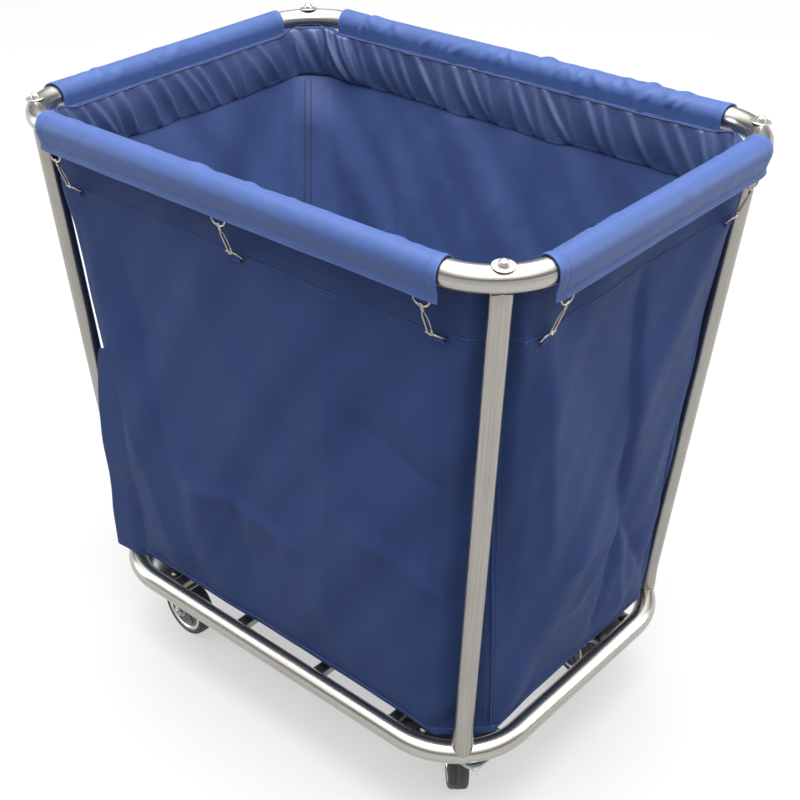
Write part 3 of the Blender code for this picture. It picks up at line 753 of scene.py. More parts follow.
def make_plates():
    """The welded mount plates, the casters' top plates with their raceways, and the bolts between."""
    for corner in CORNERS:
        low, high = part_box(f"mount_plate_{corner}")
        centre = (low + high) / 2
        outline = rounded_outline((high.x - low.x) / 2, (high.y - low.y) / 2, 0.004)
        mount = slab(f"mount_plate_steel_{corner}", outline, low.z, high.z, "zinc")
        placed(mount, Matrix.Translation((centre.x, centre.y, 0.0)))
        fit(mount, "frame", "zinc_plate", f"mount_plate_{corner}")

        low_c, high_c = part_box(f"caster_plate_{corner}")
        middle = (low_c + high_c) / 2
        outline = rounded_outline((high_c.x - low_c.x) / 2, (high_c.y - low_c.y) / 2, 0.009)
        under = high_c.z - PLATE_T
        plate = slab("plate", outline, under, high_c.z, "zinc")
        race = raised(RACE_UPPER, under) + raised(RACE_LOWER, CROWN_TOP)
        stem = raised([(0.0, 0.0008), (0.0068, 0.0008)], CROWN_TOP) + raised(STEM_NUT, low_c.z)
        parts = [plate, turned("race", race, "zinc"), turned("kingpin", stem, "bolt", 32)]
        plate = placed(joined(f"caster_top_{corner}", parts), Matrix.Translation((middle.x, middle.y, 0.0)))
        fit(plate, "frame", "zinc_plate", f"caster_plate_{corner}")

        bolts = []
        pad_top = high.z + 0.0014
        head = dome_profile(0.0066, 0.0042, pad_top + 0.0006) + [(0.0066, pad_top), (0.0, pad_top)]
        shank = [(0.0, high.z), (0.0038, high.z)]
        shank += raised([(0.0038, -0.0092), (0.0032, -0.0098), (0.0, -0.0098)], under)
        for x in (-HOLE_SPACING[0] / 2, HOLE_SPACING[0] / 2):
            for y in (-HOLE_SPACING[1] / 2, HOLE_SPACING[1] / 2):
                spot = Matrix.Translation((middle.x + x, middle.y + y, 0.0))
                square = rounded_outline(0.0085, 0.0085, 0.0025, 4)
                pad = slab("pad", square, high.z, pad_top, "washer", 0.0003)
                nut = slab("nut", hex_outline(0.0125), under - 0.0070, under - 0.0004, "bolt", 0.0005)
                group = [pad, turned("head", head, "bolt", 32), turned("shank", shank, "bolt", 24), nut]
                bolts += [placed(piece, spot) for piece in group]
        fit(joined(f"caster_bolts_{corner}", bolts), "frame", "bolt_steel")


def fork_outline(reach, boss):
    """Side view of a fork arm: broad under the crown, sweeping back to the axle."""
    top = CROWN_TOP - 0.0030
    turns = np.radians(np.linspace(-152, 28, 14))
    points = [(TRAIL + boss * math.cos(a), TYRE_R + boss * math.sin(a)) for a in turns]
    front = [(0.0300, 0.0860), (0.0262, 0.1000), (0.0230 + reach, top)]
    back = [(-0.0200 - reach, top), (-0.0205, 0.1020), (-0.0120, 0.0860), (0.0080, 0.0640)]
    return np.array(points + front + back)


# The crown's pressed cup, from its bore out over the rim and back, below the crown's top.
CROWN = [(0.0085, -0.0004), (CROWN_R - 0.0040, -0.0004), (CROWN_R - 0.0016, -0.0010)]
CROWN += [(CROWN_R - 0.0003, -0.0026), (CROWN_R, -0.0050), (CROWN_R, -0.0100), (CROWN_R - 0.0024, -0.0100)]
CROWN += [(CROWN_R - 0.0024, -0.0050), (CROWN_R - 0.0050, -0.0030), (0.0085, -0.0030)]
AXLE_HEAD = [(0.0038, 0.0), (0.0085, 0.0), (0.0085, -0.0012)]
AXLE_HEAD += [(0.0070, -0.0040), (0.0040, -0.0052), (0.0, -0.0054)]


def make_forks():
    for corner in CORNERS:
        swivel = JOINTS[f"swivel_turn_{corner}"]
        axle = JOINTS[f"wheel_roll_{corner}"]
        centre = Vector((swivel["pos_m"][0], swivel["pos_m"][1], 0.0))
        trail = Vector((axle["pos_m"][0], axle["pos_m"][1], 0.0)) - centre
        turn = Matrix.Rotation(math.atan2(trail.y, trail.x), 4, "Z")
        place = Matrix.Translation(centre) @ turn

        pieces = [turned("crown", raised(CROWN, CROWN_TOP), "zinc", closed=True)]
        stand = Matrix.Rotation(math.pi / 2, 4, "X")
        for side in (-1, 1):
            arm = slab("arm", fork_outline(0.0, 0.0120), -FORK_T / 2, FORK_T / 2, "zinc", 0.0005)
            rib = slab("rib", inset(fork_outline(-0.006, 0.0120), 0.0042), -0.0005, 0.0005, "zinc", 0.0004)
            placed(arm, Matrix.Translation((0, side * (FORK_INNER + FORK_T / 2), 0)) @ stand)
            placed(rib, Matrix.Translation((0, side * (FORK_INNER + FORK_T + 0.0004), 0)) @ stand)
            pieces += [arm, rib]
        fork = placed(joined(f"fork_{corner}", pieces), place)
        fit(fork, f"swivel_{corner}", "zinc_plate", f"caster_fork_{corner}")

        face = FORK_INNER + FORK_T + 0.0009
        nut = slab("nut", hex_outline(0.0145), face, face + 0.0052, "bolt", 0.0006)
        shank = raised([(0.0, 0.0078), (0.0030, 0.0078), (0.0038, 0.0070)], face) + raised(AXLE_HEAD, -face)
        axle_piece = joined(f"axle_{corner}", [nut, turned("shank", shank, "bolt", 32)])
        axle_at = place @ Matrix.Translation((TRAIL, 0.0, axle["pos_m"][2]))
        placed(axle_piece, axle_at @ stand)
        fit(axle_piece, f"swivel_{corner}", "bolt_steel", f"caster_axle_{corner}")
        make_wheel(corner, axle_at @ stand)


RIM_OUT = TYRE_INNER_R - 0.0002
RIM_RING = [(0.0346, 0.0040), (0.0346, 0.0126), (0.0358, 0.0139), (0.0392, 0.0142)]
RIM_RING += [(RIM_OUT - 0.0006, 0.0139), (RIM_OUT, 0.0128), (RIM_OUT, 0.0040)]


def make_wheel(corner, place):
    """Thin black tyre with a ribbed tread, a bright rim ring and a dished dark centre."""
    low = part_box(f"caster_tyre_{corner}")[0].z
    radius = TYRE_R - low / 2
    shoulder = [(0.0052, 0.0), (0.0024, -0.0012), (0.0008, -0.0034), (0.0002, -0.0060)]
    tread = [(0.0, 0.0052), (0.0007, 0.0046), (0.0007, 0.0040), (0.0, 0.0034), (0.0, 0.0008)]
    flank = raised([(TYRE_INNER_R, -0.0012), (TYRE_INNER_R + 0.0010, -0.0002)], TYRE_HALF_W)
    flank += [(radius - depth, TYRE_HALF_W + z) for depth, z in shoulder]
    flank += [(radius - depth, z) for depth, z in tread]
    tyre = turned(f"tyre_{corner}", mirrored(flank), "rubber", 96, closed=True)
    fit(placed(tyre, place), f"wheel_{corner}", "tyre_rubber", f"caster_tyre_{corner}")

    face = [(0.0044, 0.0170), (0.0112, 0.0170), (0.0120, 0.0162), (0.0128, 0.0110), (0.0150, 0.0088)]
    face += [(0.0270, 0.0076), (0.0335, 0.0096), (0.0350, 0.0118), (0.0350, 0.0040)]
    pieces = [turned("centre", mirrored(face), "centre", 64, closed=True)]
    for side in (-1, 1):
        flip = Matrix.Identity(4) if side > 0 else Matrix.Rotation(math.pi, 4, "X")
        ring = [(radius, side * z) for radius, z in RIM_RING]
        pieces.append(turned("rim", ring, "rim", 64, closed=True))
        for k in range(6):
            rib = slab("spoke", rounded_outline(0.0095, 0.0013, 0.0006, 3), 0.0070, 0.0098, "centre", 0.0004)
            at = flip @ Matrix.Rotation(math.pi / 3 * k, 4, "Z") @ Matrix.Translation((0.0225, 0.0, 0.0))
            pieces.append(placed(rib, at))
        cap = [(0.0044, 0.0165), (0.0044, 0.0176), (0.0080, 0.0176), (0.0086, 0.0170), (0.0086, 0.0165)]
        pieces.append(placed(turned("collar", cap, "bolt", 32, closed=True), flip))
    hub = placed(joined(f"wheel_centre_{corner}", pieces), place)
    fit(hub, f"wheel_{corner}", "wheel_centre", f"caster_hub_{corner}")


# ---------------------------------------------------------------- bag walls

SIDE_ORDER = ("right", "back", "left", "front")
COLUMN_COUNTS = (SHORT_COLUMNS, CORNER_COLUMNS, LONG_COLUMNS, CORNER_COLUMNS) * 2
COLUMN_STARTS = np.concatenate([[0], np.cumsum(COLUMN_COUNTS)])
COLUMNS = int(COLUMN_STARTS[-1])


def level(share):
    """Half extents, chamfer and height of the bag at a share of the way down its wall."""
    half_x = (TOP_HALF_X - SEAM_INSET) * (1 - share) + FOOT_HALF_X * share
    half_y = (TOP_HALF_Y - SEAM_INSET) * (1 - share) + FOOT_HALF_Y * share
    chamfer = SEAM_CHAMFER * (1 - share) + FOOT_CHAMFER * share
    return half_x, half_y, chamfer, SEAM_Z * (1 - share) + FOOT_Z * share


def wall_ring(share):
    """One level of the wall, anticlockwise from the -Y end of the +X side."""
    half_x, half_y, chamfer, z = level(share)
    flat_x, flat_y = half_x - chamfer, half_y - chamfer
    knots = [(half_x, -flat_y), (half_x, flat_y), (flat_x, half_y), (-flat_x, half_y)]
    knots += [(-x, -y) for x, y in knots]
    points = []
    for index, count in enumerate(COLUMN_COUNTS):
        start, end = np.array(knots[index]), np.array(knots[(index + 1) % 8])
        points += [start + (end - start) * k / count for k in range(count)]
    points = np.array(points)
    return np.column_stack([points, np.full(len(points), z)])


def wall_grid():
    """The taut wall, with slightly wavy edges at its foot."""
    rng = random.Random(41)
    grid = np.array([wall_ring(row / WALL_ROWS) for row in range(WALL_ROWS + 1)])
    around = np.arange(COLUMNS) / COLUMNS
    ripple = sum(math.sqrt(1 / k) * np.sin(2 * math.pi * (k * around + rng.random())) for k in (5, 9, 14, 23))
    normals = unit(grid[-1] - np.array((0.0, 0.0, FOOT_Z))) * np.array((1.0, 1.0, 0.0))
    shares = smooth((np.arange(WALL_ROWS + 1) / WALL_ROWS - 0.5) / 0.5)
    grid += shares[:, None, None] * (FOOT_RIPPLE * ripple[:, None] * normals)[None]
    grid[-1, :, 2] += 0.0008 * ripple
    top_x, top_y, _, _ = level(0.0)
    away = np.maximum(top_x - np.abs(grid[0, :, 0]), top_y - np.abs(grid[0, :, 1]))
    fade = smooth(1 - np.arange(WALL_ROWS + 1) / 10)
    grid[..., 2] += CORNER_RISE * fade[:, None] * smooth((0.075 - away) / 0.030)[None]
    corner = np.array((FOOT_HALF_X, -FOOT_HALF_Y))
    droop = -FOOT_DROOP * bell(np.linalg.norm(grid[-1, :, :2] - corner, axis=1), 0.13)
    grid[..., 2] += (shares ** 2)[:, None] * droop[None]
    return grid


CLOTH_FRAMES = 40
SLACK_TOP = 0.010  # how much wider than its place the wall is cut, as a share
SLACK_FOOT = 0.016  # more width towards the foot
SLACK_DOWN = 1.008  # cut height over hung height
CLOTH = {
    "quality": 7,
    "mass": 0.25,
    "tension_stiffness": 30,
    "compression_stiffness": 30,
    "shear_stiffness": 12,
    "bending_stiffness": 3.0,
    "tension_damping": 12,
    "compression_damping": 12,
    "shear_damping": 12,
    "air_damping": 3,
    "vertex_group_mass": "sewn",
}


def simulate_wall(grid):
    """Hang the wall as cloth, cut a little wide, between its top seam and its foot."""
    rows, columns = grid.shape[:2]
    index = np.arange(rows * columns).reshape(rows, columns)
    after = np.roll(index, -1, 1)
    faces = np.stack([index[:-1], after[:-1], after[1:], index[1:]], 2).reshape(-1, 4)
    mesh = bpy.data.meshes.new("hanging_wall")
    mesh.from_pydata(grid.reshape(-1, 3).tolist(), [], faces.tolist())
    wall = linked("hanging_wall", mesh)
    pins = wall.vertex_groups.new(name="sewn")
    pins.add([int(v) for v in np.concatenate([index[0], index[-1]])], 1.0, "REPLACE")
    wall.shape_key_add(name="Basis")
    cut = wall.shape_key_add(name="cut")
    shares = np.arange(rows) / (rows - 1)
    wide = 1.0 + SLACK_TOP + SLACK_FOOT * smooth(shares * 1.2)
    loose = grid.copy()
    loose[..., :2] *= wide[:, None, None]
    loose[..., 2] = SEAM_Z + (loose[..., 2] - SEAM_Z) * SLACK_DOWN
    cut.data.foreach_set("co", loose.astype(np.float32).ravel())
    cut.value = 0.0
    cloth = wall.modifiers.new("Cloth", "CLOTH")
    for key, value in CLOTH.items():
        setattr(cloth.settings, key, value)
    cloth.settings.rest_shape_key = cut
    cloth.collision_settings.use_collision = False
    cloth.collision_settings.use_self_collision = False
    cloth.point_cache.frame_start = 1
    cloth.point_cache.frame_end = CLOTH_FRAMES
    scene = bpy.context.scene
    for step in range(1, CLOTH_FRAMES + 1):
        scene.frame_set(step)
    evaluated = wall.evaluated_get(bpy.context.evaluated_depsgraph_get())
    hung = np.zeros(rows * columns * 3, np.float32)
    evaluated.data.vertices.foreach_get("co", hung)
    bpy.data.objects.remove(wall, do_unlink=True)
    scene.frame_set(1)
    return hung.astype(float).reshape(rows, columns, 3)


def refined(grid):
    """A grid with a smooth point added between every two, round its columns and down its rows."""
    before, after, beyond = np.roll(grid, 1, 1), np.roll(grid, -1, 1), np.roll(grid, -2, 1)
    middle = (9 * (grid + after) - before - beyond) / 16
    wide = np.stack([grid, middle], 2).reshape(grid.shape[0], -1, 3)
    padded = np.concatenate([2 * wide[:1] - wide[1:2], wide, 2 * wide[-1:] - wide[-2:-1]])
    middle = (9 * (padded[1:-2] + padded[2:-1]) - padded[:-3] - padded[3:]) / 16
    tall = np.empty((2 * len(wide) - 1, wide.shape[1], 3))
    tall[::2], tall[1::2] = wide, middle
    return tall


def wall_normals(grid):
    across = np.roll(grid, -1, 1) - np.roll(grid, 1, 1)
    down = np.gradient(grid, axis=0)
    return unit(np.cross(down, across))


def clear_of_legs(grid):
    """Push the cloth inwards where it would run into a leg."""
    for side_x, side_y in CORNERS.values():
        foot = corner_point(side_x, side_y, BASE_RING)
        head = corner_point(side_x, side_y, TOP_RING)
        share = (grid[..., 2] - foot[2]) / (head[2] - foot[2])
        axis = foot[None, None, :2] + share[..., None] * (head - foot)[None, None, :2]
        radius = LEG_R + (FOOT_R - LEG_R) * smooth((FOOT_HEIGHT - (grid[..., 2] - BASE_Z)) / FOOT_HEIGHT)
        inward = -np.array((side_x, side_y)) * DIAGONAL
        ahead = (grid[..., :2] - axis) @ inward
        aside = np.abs((grid[..., :2] - axis) @ np.array((-inward[1], inward[0])))
        need = np.sqrt(np.maximum((radius + LEG_GAP) ** 2 - aside ** 2, 0.0))
        push = np.where(aside < radius + LEG_GAP, np.maximum(need - ahead, 0.0), 0.0)
        near = ahead > -0.03
        grid[..., :2] += (push * near)[..., None] * inward
    return grid


# Creases by side: two ends as (along the side, height), depth, and how far each flank spreads.
CREASES = {
    "front": [
        ((-0.16, 0.378), (-0.051, 0.403), 0.0102, 0.012, 0.045),
        ((-0.051, 0.403), (0.074, 0.381), 0.011, 0.012, 0.045),
        ((-0.051, 0.403), (-0.04, 0.27), -0.0076, 0.014, 0.04),
        ((-0.051, 0.403), (-0.15, 0.22), 0.0059, 0.014, 0.04),
        ((-0.335, 0.62), (-0.19, 0.19), 0.0085, 0.03, 0.05),
        ((-0.24, 0.7), (-0.15, 0.18), -0.0085, 0.035, 0.045),
        ((0.15, 0.8), (0.12, 0.25), 0.0076, 0.05, 0.06),
        ((0.18, 0.64), (0.33, 0.59), -0.0085, 0.018, 0.03),
        ((0.18, 0.48), (0.33, 0.42), 0.0085, 0.016, 0.035),
    ],
    "right": [
        ((-0.19, 0.81), (-0.124, 0.435), 0.011, 0.06, 0.016),
        ((0.02, 0.79), (0.057, 0.412), -0.013, 0.007, 0.05),
        ((0.059, 0.4), (-0.08, 0.392), 0.0075, 0.008, 0.034),
        ((0.059, 0.4), (-0.05, 0.3), 0.0065, 0.01, 0.016),
        ((0.059, 0.4), (0.027, 0.215), -0.0095, 0.01, 0.012),
        ((0.059, 0.4), (0.095, 0.215), 0.007, 0.012, 0.02),
        ((0.059, 0.4), (0.148, 0.257), -0.0075, 0.016, 0.008),
        ((0.222, 0.76), (0.152, 0.262), 0.004, 0.01, 0.008),
        ((0.236, 0.8), (0.176, 0.23), -0.012, 0.014, 0.014),
    ],
    "back": [
        ((-0.2, 0.52), (0.06, 0.43), 0.0084, 0.016, 0.045),
        ((0.06, 0.43), (0.24, 0.25), 0.0084, 0.016, 0.04),
        ((0.22, 0.76), (0.15, 0.3), -0.0084, 0.03, 0.04),
        ((-0.06, 0.78), (-0.03, 0.48), 0.007, 0.04, 0.03),
        ((-0.25, 0.74), (-0.18, 0.24), 0.0084, 0.04, 0.05),
    ],
    "left": [
        ((-0.12, 0.74), (-0.05, 0.3), 0.0084, 0.03, 0.04),
        ((0.12, 0.56), (-0.05, 0.36), 0.0084, 0.016, 0.036),
        ((0.1, 0.76), (0.15, 0.26), -0.0077, 0.03, 0.04),
    ],
}


# Broad rolls over the whole wall: lean, then longest and shortest wave.
ROLLS = ((0.45, 0.50, 0.13), (-0.60, 0.33, 0.09))
ROLL_HEIGHT = 0.0042


def local_frame(side):
    """Unit vectors out of a side and along it."""
    turn = math.radians(SIDES[side])
    out = np.array((math.cos(turn), math.sin(turn), 0.0))
    along = np.array((-math.sin(turn), math.cos(turn), 0.0))
    return out, along


def creased(grid):
    """The wall with its creases: sharp along a line, with one flank broader than the other."""
    normals = wall_normals(grid)
    lift = np.zeros(grid.shape[:2])
    for side, lines in CREASES.items():
        out, along = local_frame(side)
        place = np.stack([grid @ along, grid[..., 2]], 2)
        on_side = smooth((normals @ out - 0.75) / 0.2)
        for start, end, depth, near_flank, far_flank in lines:
            span = np.array(end) - start
            length = np.linalg.norm(span)
            share = ((place - start) @ span) / length ** 2
            offset = ((place - start) @ np.array((-span[1], span[0]))) / length
            flank = np.where(offset > 0, near_flank, far_flank)
            bend = np.exp(-np.sqrt((offset / flank) ** 2 + 0.01))
            ends = smooth((share + 0.15) / 0.35) * smooth((1.15 - share) / 0.35)
            lift += depth * bend * ends * on_side
    run = np.arange(grid.shape[1]) * COLUMN_STEP
    for lean, longest, shortest in ROLLS:
        rng = random.Random(int(100 * longest))
        lift += ROLL_HEIGHT * waves(run[None] + lean * grid[..., 2], rng, 4, longest, shortest)
    edge = smooth((SEAM_Z - grid[..., 2]) / 0.09) * smooth((grid[..., 2] - FOOT_Z) / 0.05)
    return grid + (lift * edge)[..., None] * normals


TUCK_DEPTHS = {"near_left": 0.022, "near_right": 0.018, "far_right": 0.0, "far_left": 0.012}
TUCK_REACH = 0.078
TUCK_TOP = (0.815, 0.08)  # height where the tuck starts, and the fall over which it deepens
TUCK_FOOT = (0.30, 0.16)  # height where it ends, and the fall over which it fades


def tucked(grid):
    """The wall with its corners drawn in from the legs, each from a fold a little way along the sides."""
    share = np.clip((SEAM_Z - grid[..., 2]) / (SEAM_Z - FOOT_Z), 0.0, 1.0)
    half_x, half_y, _, _ = level(share)
    away = np.maximum(half_x - np.abs(grid[..., 0]), half_y - np.abs(grid[..., 1]))
    amount = np.clip(1.0 - away / TUCK_REACH, 0.0, 1.0)
    amount = amount * smooth((TUCK_TOP[0] - grid[..., 2]) / TUCK_TOP[1])
    amount = amount * smooth((grid[..., 2] - TUCK_FOOT[0]) / TUCK_FOOT[1])
    for corner, (side_x, side_y) in CORNERS.items():
        here = (grid[..., 0] * side_x > 0) & (grid[..., 1] * side_y > 0)
        inward = -np.array((side_x, side_y)) * DIAGONAL
        grid[..., :2] += (TUCK_DEPTHS[corner] * amount * here)[..., None] * inward
    return grid


class Wall:
    """The hung wall as a surface: a point at any column and row, lifted off it by a distance."""

    def __init__(self, grid):
        self.grid = grid
        self.normals = wall_normals(grid)
        self.rows, self.columns = grid.shape[:2]

    def at(self, column, row, lift=0.0):
        column = np.asarray(column, float) % self.columns
        row = np.clip(np.asarray(row, float), 0, self.rows - 1.000001)
        c0, r0 = np.floor(column).astype(int), np.floor(row).astype(int)
        fc, fr = (column - c0)[..., None], (row - r0)[..., None]
        c0, c1, r1 = c0 % self.columns, (c0 + 1) % self.columns, r0 + 1
        result = []
        for source in (self.grid, self.normals):
            upper = source[r0, c0] * (1 - fc) + source[r0, c1] * fc
            lower = source[r1, c0] * (1 - fc) + source[r1, c1] * fc
            result.append(upper * (1 - fr) + lower * fr)
        return result[0] + np.asarray(lift)[..., None] * unit(result[1])

    def row_at(self, z):
        return (SEAM_Z - z) / (SEAM_Z - FOOT_Z) * (self.rows - 1)

    def column_at(self, side, along, z):
        """Column of the point that far along a side, counted anticlockwise from its middle."""
        half_x, half_y, chamfer, _ = level((SEAM_Z - z) / (SEAM_Z - FOOT_Z))
        reach = (half_y if side in ("right", "left") else half_x) - chamfer
        first = COLUMN_STARTS[2 * SIDE_ORDER.index(side)]
        count = COLUMN_COUNTS[2 * SIDE_ORDER.index(side)]
        scale = self.columns / COLUMNS
        return scale * (first + count * (along / reach + 1) / 2)

    def seam_columns(self, rows):
        """Each corner seam's column at those rows: it runs from mid facet to the facet's end."""
        scale = self.columns / COLUMNS
        drift = CORNER_COLUMNS * (0.55 + 0.45 * rows / self.rows)
        return [scale * (COLUMN_STARTS[2 * k + 1] + drift) for k in range(4)]


def bag_floor_rows(ring, rows=10):
    """Rows that close the foot of the bag inwards over its cross bars."""
    reach = FOOT_HALF_X - FOOT_HALF_Y
    spine = np.stack([np.clip(ring[:, 0], -reach, reach), np.zeros(len(ring)), ring[:, 2]], 1)
    result = []
    for row in range(1, rows + 1):
        share = row / rows
        points = ring * (1 - share) + spine * share
        sag = 0.0016 * np.sin(points[:, 0] * 31.0 + 1.0) * np.sin(points[:, 1] * 37.0)
        points[:, 2] = ring[:, 2] * (1 - share) + (FOOT_Z + 0.0012 + sag) * share
        result.append(points)
    return result


def line_inside(bag):
    """Give the faces that look into the bag a lighter cloth: partly the cloth's other face, partly painted
    light for the light that falls into the bag.
    """
    bag.data.materials.append(MATERIALS["inner_face_and_painted_light"])
    for face in bag.data.polygons:
        inward = face.normal.x * face.center.x + face.normal.y * face.center.y < 0
        if face.normal.z > 0.7 or (inward and face.normal.z > -0.7):
            face.material_index = 1


def make_bag():
    """The sewn tub, as one closed skin of an outer and an inner face."""
    grid = wall_grid()
    grid = simulate_wall(grid)
    grid = clear_of_legs(tucked(creased(refined(grid))))
    wall = Wall(grid)
    floor_rows = np.array(bag_floor_rows(grid[-1]))
    half = CLOTH_T / 2
    outer = np.concatenate([grid + half * wall.normals, floor_rows - np.array((0, 0, half))])
    inner = np.concatenate([grid - half * wall.normals, floor_rows + np.array((0, 0, half))])
    skin = np.concatenate([inner[::-1], outer])
    bag = grid_piece("bag_tub", skin, "canvas", closed_j=True, sharp=80.0)
    line_inside(bag)
    fit(bag, "frame", "canvas", "bag_front", "bag_back", "bag_right", "bag_left", "bag_floor")
    return bag, wall


def stitches(name, path, length=0.0034, gap=0.0014, radius=0.00042):
    """A row of short thread ends along a path of points."""
    path = np.asarray(path, float)
    steps = np.linalg.norm(np.diff(path, axis=0), axis=1)
    run = np.concatenate([[0.0], np.cumsum(steps)])
    count = int(run[-1] / (length + gap))
    sides = 6
    angles = np.arange(sides) * 2 * math.pi / sides
    verts, faces = [], []
    for k in range(count):
        spots = (k + 0.5) * (length + gap) + length * np.array((-0.5, -0.3, 0.3, 0.5))
        centres = np.stack([np.interp(spots, run, path[:, axis]) for axis in range(3)], 1)
        ahead = unit(centres[-1] - centres[0])
        guide = unit(np.cross(ahead, (0.31, 0.22, 0.93)))
        across = np.cross(ahead, guide)
        first = len(verts)
        for centre, scale in zip(centres, (0.35, 1.0, 1.0, 0.35)):
            spokes = np.cos(angles)[:, None] * guide + np.sin(angles)[:, None] * across
            verts += (centre + scale * radius * spokes).tolist()
        for start in range(first, first + 3 * sides, sides):
            for side in range(sides):
                a, b = start + side, start + (side + 1) % sides
                faces.append((a, b, b + sides, a + sides))
        faces.append(tuple(first + side for side in reversed(range(sides))))
        faces.append(tuple(first + 3 * sides + side for side in range(sides)))
    mesh = bpy.data.meshes.new(name)
    mesh.from_pydata(verts, [], faces)
    mesh.uv_layers.new(name="UVMap")
    mesh.shade_smooth()
    mesh.materials.append(MATERIALS["thread"])
    return linked(name, mesh)


EAR_TOP_Z = 0.56
EAR_FOOT_Z = 0.166
EAR_START = 0.285
EAR_TOP_REACH = 0.300
EAR_FOOT_REACH = 0.3635
EAR_T = 0.0028


def make_corner_ear(wall):
    """The near left corner's spare cloth, folded flat and hanging in front of the leg's foot."""
    foot = corner_point(-1, -1, BASE_RING)
    head = corner_point(-1, -1, TOP_RING)
    shares = np.linspace(0.0, 1.0, 60)
    across = np.linspace(0.0, 1.0, 26)
    ripple = waves(shares * 0.34, random.Random(3), 4, 0.30, 0.06)
    grid = []
    for share, wave in zip(shares, ripple):
        z = EAR_TOP_Z + (EAR_FOOT_Z - EAR_TOP_Z) * share
        reach = EAR_TOP_REACH + (EAR_FOOT_REACH - EAR_TOP_REACH) * share ** 0.32
        reach += 0.0012 * wave * share
        x = -(EAR_START + (reach - EAR_START) * across)
        near = wall.at(wall.column_at("front", x, z), wall.row_at(z), CLOTH_T / 2)
        run = (z - foot[2]) / (head[2] - foot[2])
        leg_y = foot[1] + (head[1] - foot[1]) * run
        clear = leg_y - FOOT_R - EAR_T - 0.0008
        base = near[0, 1] + 0.0006
        front = base + (min(clear, base - 0.0010) - base) * smooth(across / 0.45) - 0.0008 * wave * across
        tip = EAR_T / 2 * (1 - np.sqrt(np.maximum(1 - np.clip((across - 0.94) / 0.06, 0, 1) ** 2, 0)))
        heights = z - 0.006 * share ** 6 * across
        outer = np.stack([x, front + tip, heights + 0 * x], 1)
        inner = np.stack([x, front + EAR_T - tip, heights + 0 * x], 1)
        grid.append(np.concatenate([outer, inner[::-1]]))
    ear = grid_piece("corner_ear", grid, "canvas", closed_j=True, cap=True, sharp=70.0)
    return fit(ear, "frame", "canvas")


def make_seams(wall):
    """Piping, the band's seam, the corner seams and the bound foot, with their stitching."""
    every = np.arange(0, wall.columns, 1.0)
    ripple = waves(every * COLUMN_STEP, random.Random(5), 6, 0.30, 0.03)
    inner_lift = -(CLOTH_T / 2 + 0.0036)
    piping = wall.at(every, 0.4, inner_lift + 0.0006 * ripple)
    piping[:, 2] += 0.0016 + 0.0006 * ripple
    pieces = {"piping": tube("top_piping", piping, 0.0009, "piping", 10, closed=True)}

    welt = wall.at(every, wall.row_at(OUTER_SEAM_Z), CLOTH_T / 2 + 0.0003 + 0.0002 * ripple)
    pieces["band_welt"] = tube("band_welt", welt, 0.0020, "canvas", 10, closed=True, flatten=0.55)
    rows = []
    for offset in (-0.0042, 0.0046):
        path = wall.at(every, wall.row_at(OUTER_SEAM_Z + offset), CLOTH_T / 2 + 0.0001)
        rows.append(stitches("stitch", path))
    pieces["band_stitching"] = joined("band_stitching", rows)

    welts, threads = [], []
    down = np.linspace(wall.row_at(BAND_Z) + 1.0, wall.rows - 1.5, 90)
    full = np.linspace(1.0, wall.rows - 1.5, 110)
    for outer_column, inner_column in zip(wall.seam_columns(full), wall.seam_columns(down)):
        welts.append(tube("welt", wall.at(outer_column, full, CLOTH_T / 2 + 0.0004), 0.0017, "canvas", 8))
        for shift in (-0.65, 0.65):
            inside = wall.at(inner_column + shift, down, -CLOTH_T / 2 - 0.0003)
            welts.append(tube("welt", inside, 0.0011, "piping", 8))
            threads.append(stitches("stitch", wall.at(outer_column + 1.2 * shift, full, CLOTH_T / 2)))
    pieces["corner_seams"] = joined("corner_seams", welts)
    pieces["corner_stitching"] = joined("corner_stitching", threads)

    pieces["foot_binding"] = hem_binding(wall)
    path = wall.at(every, wall.row_at(FOOT_Z + 0.0095), CLOTH_T / 2 + 0.0009)
    pieces["foot_stitching"] = stitches("foot_stitching", path)
    for piece in pieces.values():
        fit(piece, "frame", "canvas")
    return list(pieces.values())


def hem_binding(wall):
    """The bound edge round the foot: a thin folded tape that stands a little proud."""
    every = np.arange(0, wall.columns, 1.0)
    section = [(0.0110, 0.0002), (0.0108, 0.0008), (0.0060, 0.0010), (0.0010, 0.0012), (-0.0006, 0.0008)]
    section += [(-0.0008, -0.0002), (-0.0006, -0.0010), (0.0010, -0.0012), (0.0010, 0.0001), (0.0100, 0.0001)]
    ripple = waves(every * COLUMN_STEP, random.Random(15), 6, 0.25, 0.03)
    grid = []
    for rise, lift in section:
        row = wall.row_at(FOOT_Z + max(rise, 0.0))
        points = wall.at(every, row, CLOTH_T / 2 + lift + 0.0003 * ripple)
        points[:, 2] += min(rise, 0.0)
        grid.append(points)
    binding = np.array(grid).swapaxes(0, 1)
    return grid_piece("foot_binding", binding, "canvas", closed_i=True, closed_j=True, sharp=60.0)


BAND_STEPS = 5
BAND_ROWS = 20
PLEAT_HEIGHT = (0.0026, 0.0058)
PLEAT_WIDTH = (0.0024, 0.0040)
PLEAT_SLANT = (-0.016, -0.050)
PLEAT_SPACING = (0.013, 0.040)
BULKY_PLEAT = (0.0070, 0.0055, -0.030)


